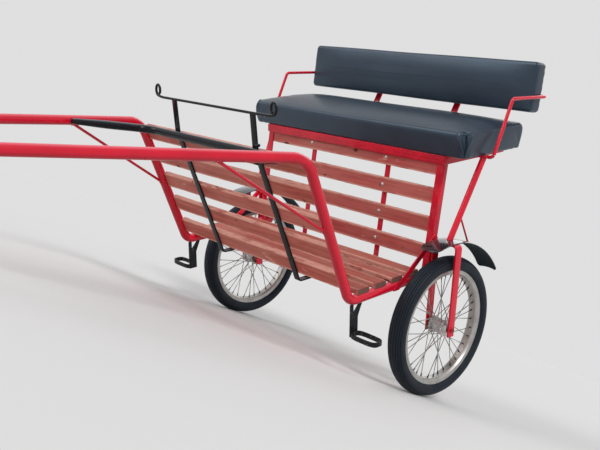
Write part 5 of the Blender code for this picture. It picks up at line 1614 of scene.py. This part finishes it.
class CartStage(bpy.types.Operator):
    """Builds the pale floor, the light and the camera"""
    bl_idname = "cart.stage"
    bl_label = "Stage"

    def execute(self, context):
        scene = context.scene
        ground = tuple(scene.cart_colours.ground)
        f = Finish("pale_floor", ground, Roughness=0.9, Specular_IOR_Level=0.1)
        f.lay(f.patches(1.2, 0.3, 0.7), ground, 0.99)
        f.done()
        mesh = bpy.data.meshes.new("studio_floor")
        corners = [(x * FLOOR_REACH, y * FLOOR_REACH, 0.0)
                   for x, y in ((-1, -1), (1, -1), (1, 1), (-1, 1))]
        mesh.from_pydata(corners, [], [(0, 1, 2, 3)])
        mesh.materials.append(f.material)
        floor = bpy.data.objects.new("studio_floor", mesh)
        scene.collection.objects.link(floor)

        world = bpy.data.worlds.new("studio_light")
        world.use_nodes = True
        scene.world = world
        tree = world.node_tree
        path = node(tree, "LightPath").outputs
        seen = worked(tree, "MAXIMUM", path["Is Camera Ray"], path["Is Glossy Ray"])
        seen = worked(tree, "MAXIMUM", seen, path["Is Transmission Ray"])
        sky = tree.nodes["Background"]
        sky.inputs["Color"].default_value = (1.0, 1.0, 1.0, 1.0)
        tree.links.new(ranged(tree, seen, To_Min=SKY_LIGHT, To_Max=SKY_SEEN),
                       sky.inputs["Strength"])
        for name, strength, turn, soft in LAMPS:
            lamp = bpy.data.lights.new(name, "SUN")
            lamp.energy = strength
            lamp.angle = math.radians(soft)
            holder = bpy.data.objects.new(name, lamp)
            holder.rotation_euler = tuple(math.radians(a) for a in turn)
            scene.collection.objects.link(holder)

        view = bpy.data.cameras.new("photo_view")
        view.lens = CAMERA_LENS
        view.sensor_width = 36.0
        view.clip_start = 0.05
        camera = bpy.data.objects.new("photo_view", view)
        camera.location = CAMERA_PLACE
        camera.rotation_euler = Euler([math.radians(a) for a in CAMERA_TURN], "XYZ")
        scene.collection.objects.link(camera)
        bpy.context.scene.camera = camera
        bpy.context.scene.view_settings.view_transform = "Standard"
        return {"FINISHED"}


STEPS = (CartFinishes, CartSideTubes, CartHoop, CartSlats, CartSeatFrame, CartSeat, CartBackRest,
         CartForks, CartSteps, CartTyres, CartWheels, CartStage)


class CartPanel(bpy.types.Panel):
    """Lists the cart's pieces and their settings"""
    bl_idname = "CART_PT_pieces"
    bl_label = "Road cart"
    bl_space_type = "VIEW_3D"
    bl_region_type = "UI"
    bl_category = "Cart"

    def draw(self, context):
        for settings in (context.scene.cart_colours, context.scene.cart_details):
            for name in settings.__annotations__:
                self.layout.prop(settings, name)
        for step in STEPS:
            self.layout.operator(step.bl_idname)


def register():
    """Registers the settings, operators and panel."""
    for kind in (CartColours, CartDetails, *STEPS, CartPanel):
        bpy.utils.register_class(kind)
    bpy.types.Scene.cart_colours = bpy.props.PointerProperty(type=CartColours)
    bpy.types.Scene.cart_details = bpy.props.PointerProperty(type=CartDetails)


def unregister():
    """Takes them away again."""
    del bpy.types.Scene.cart_details
    del bpy.types.Scene.cart_colours
    for kind in (CartPanel, *reversed(STEPS), CartDetails, CartColours):
        bpy.utils.unregister_class(kind)


def main():
    """Builds every piece in order."""
    register()
    for name in ("finishes", "side_tubes", "hoop", "slats", "seat_frame", "seat", "back_rest",
                 "forks", "steps", "tyres", "wheels", "stage"):
        getattr(bpy.ops.cart, name)()


if __name__ == "__main__":
    main()
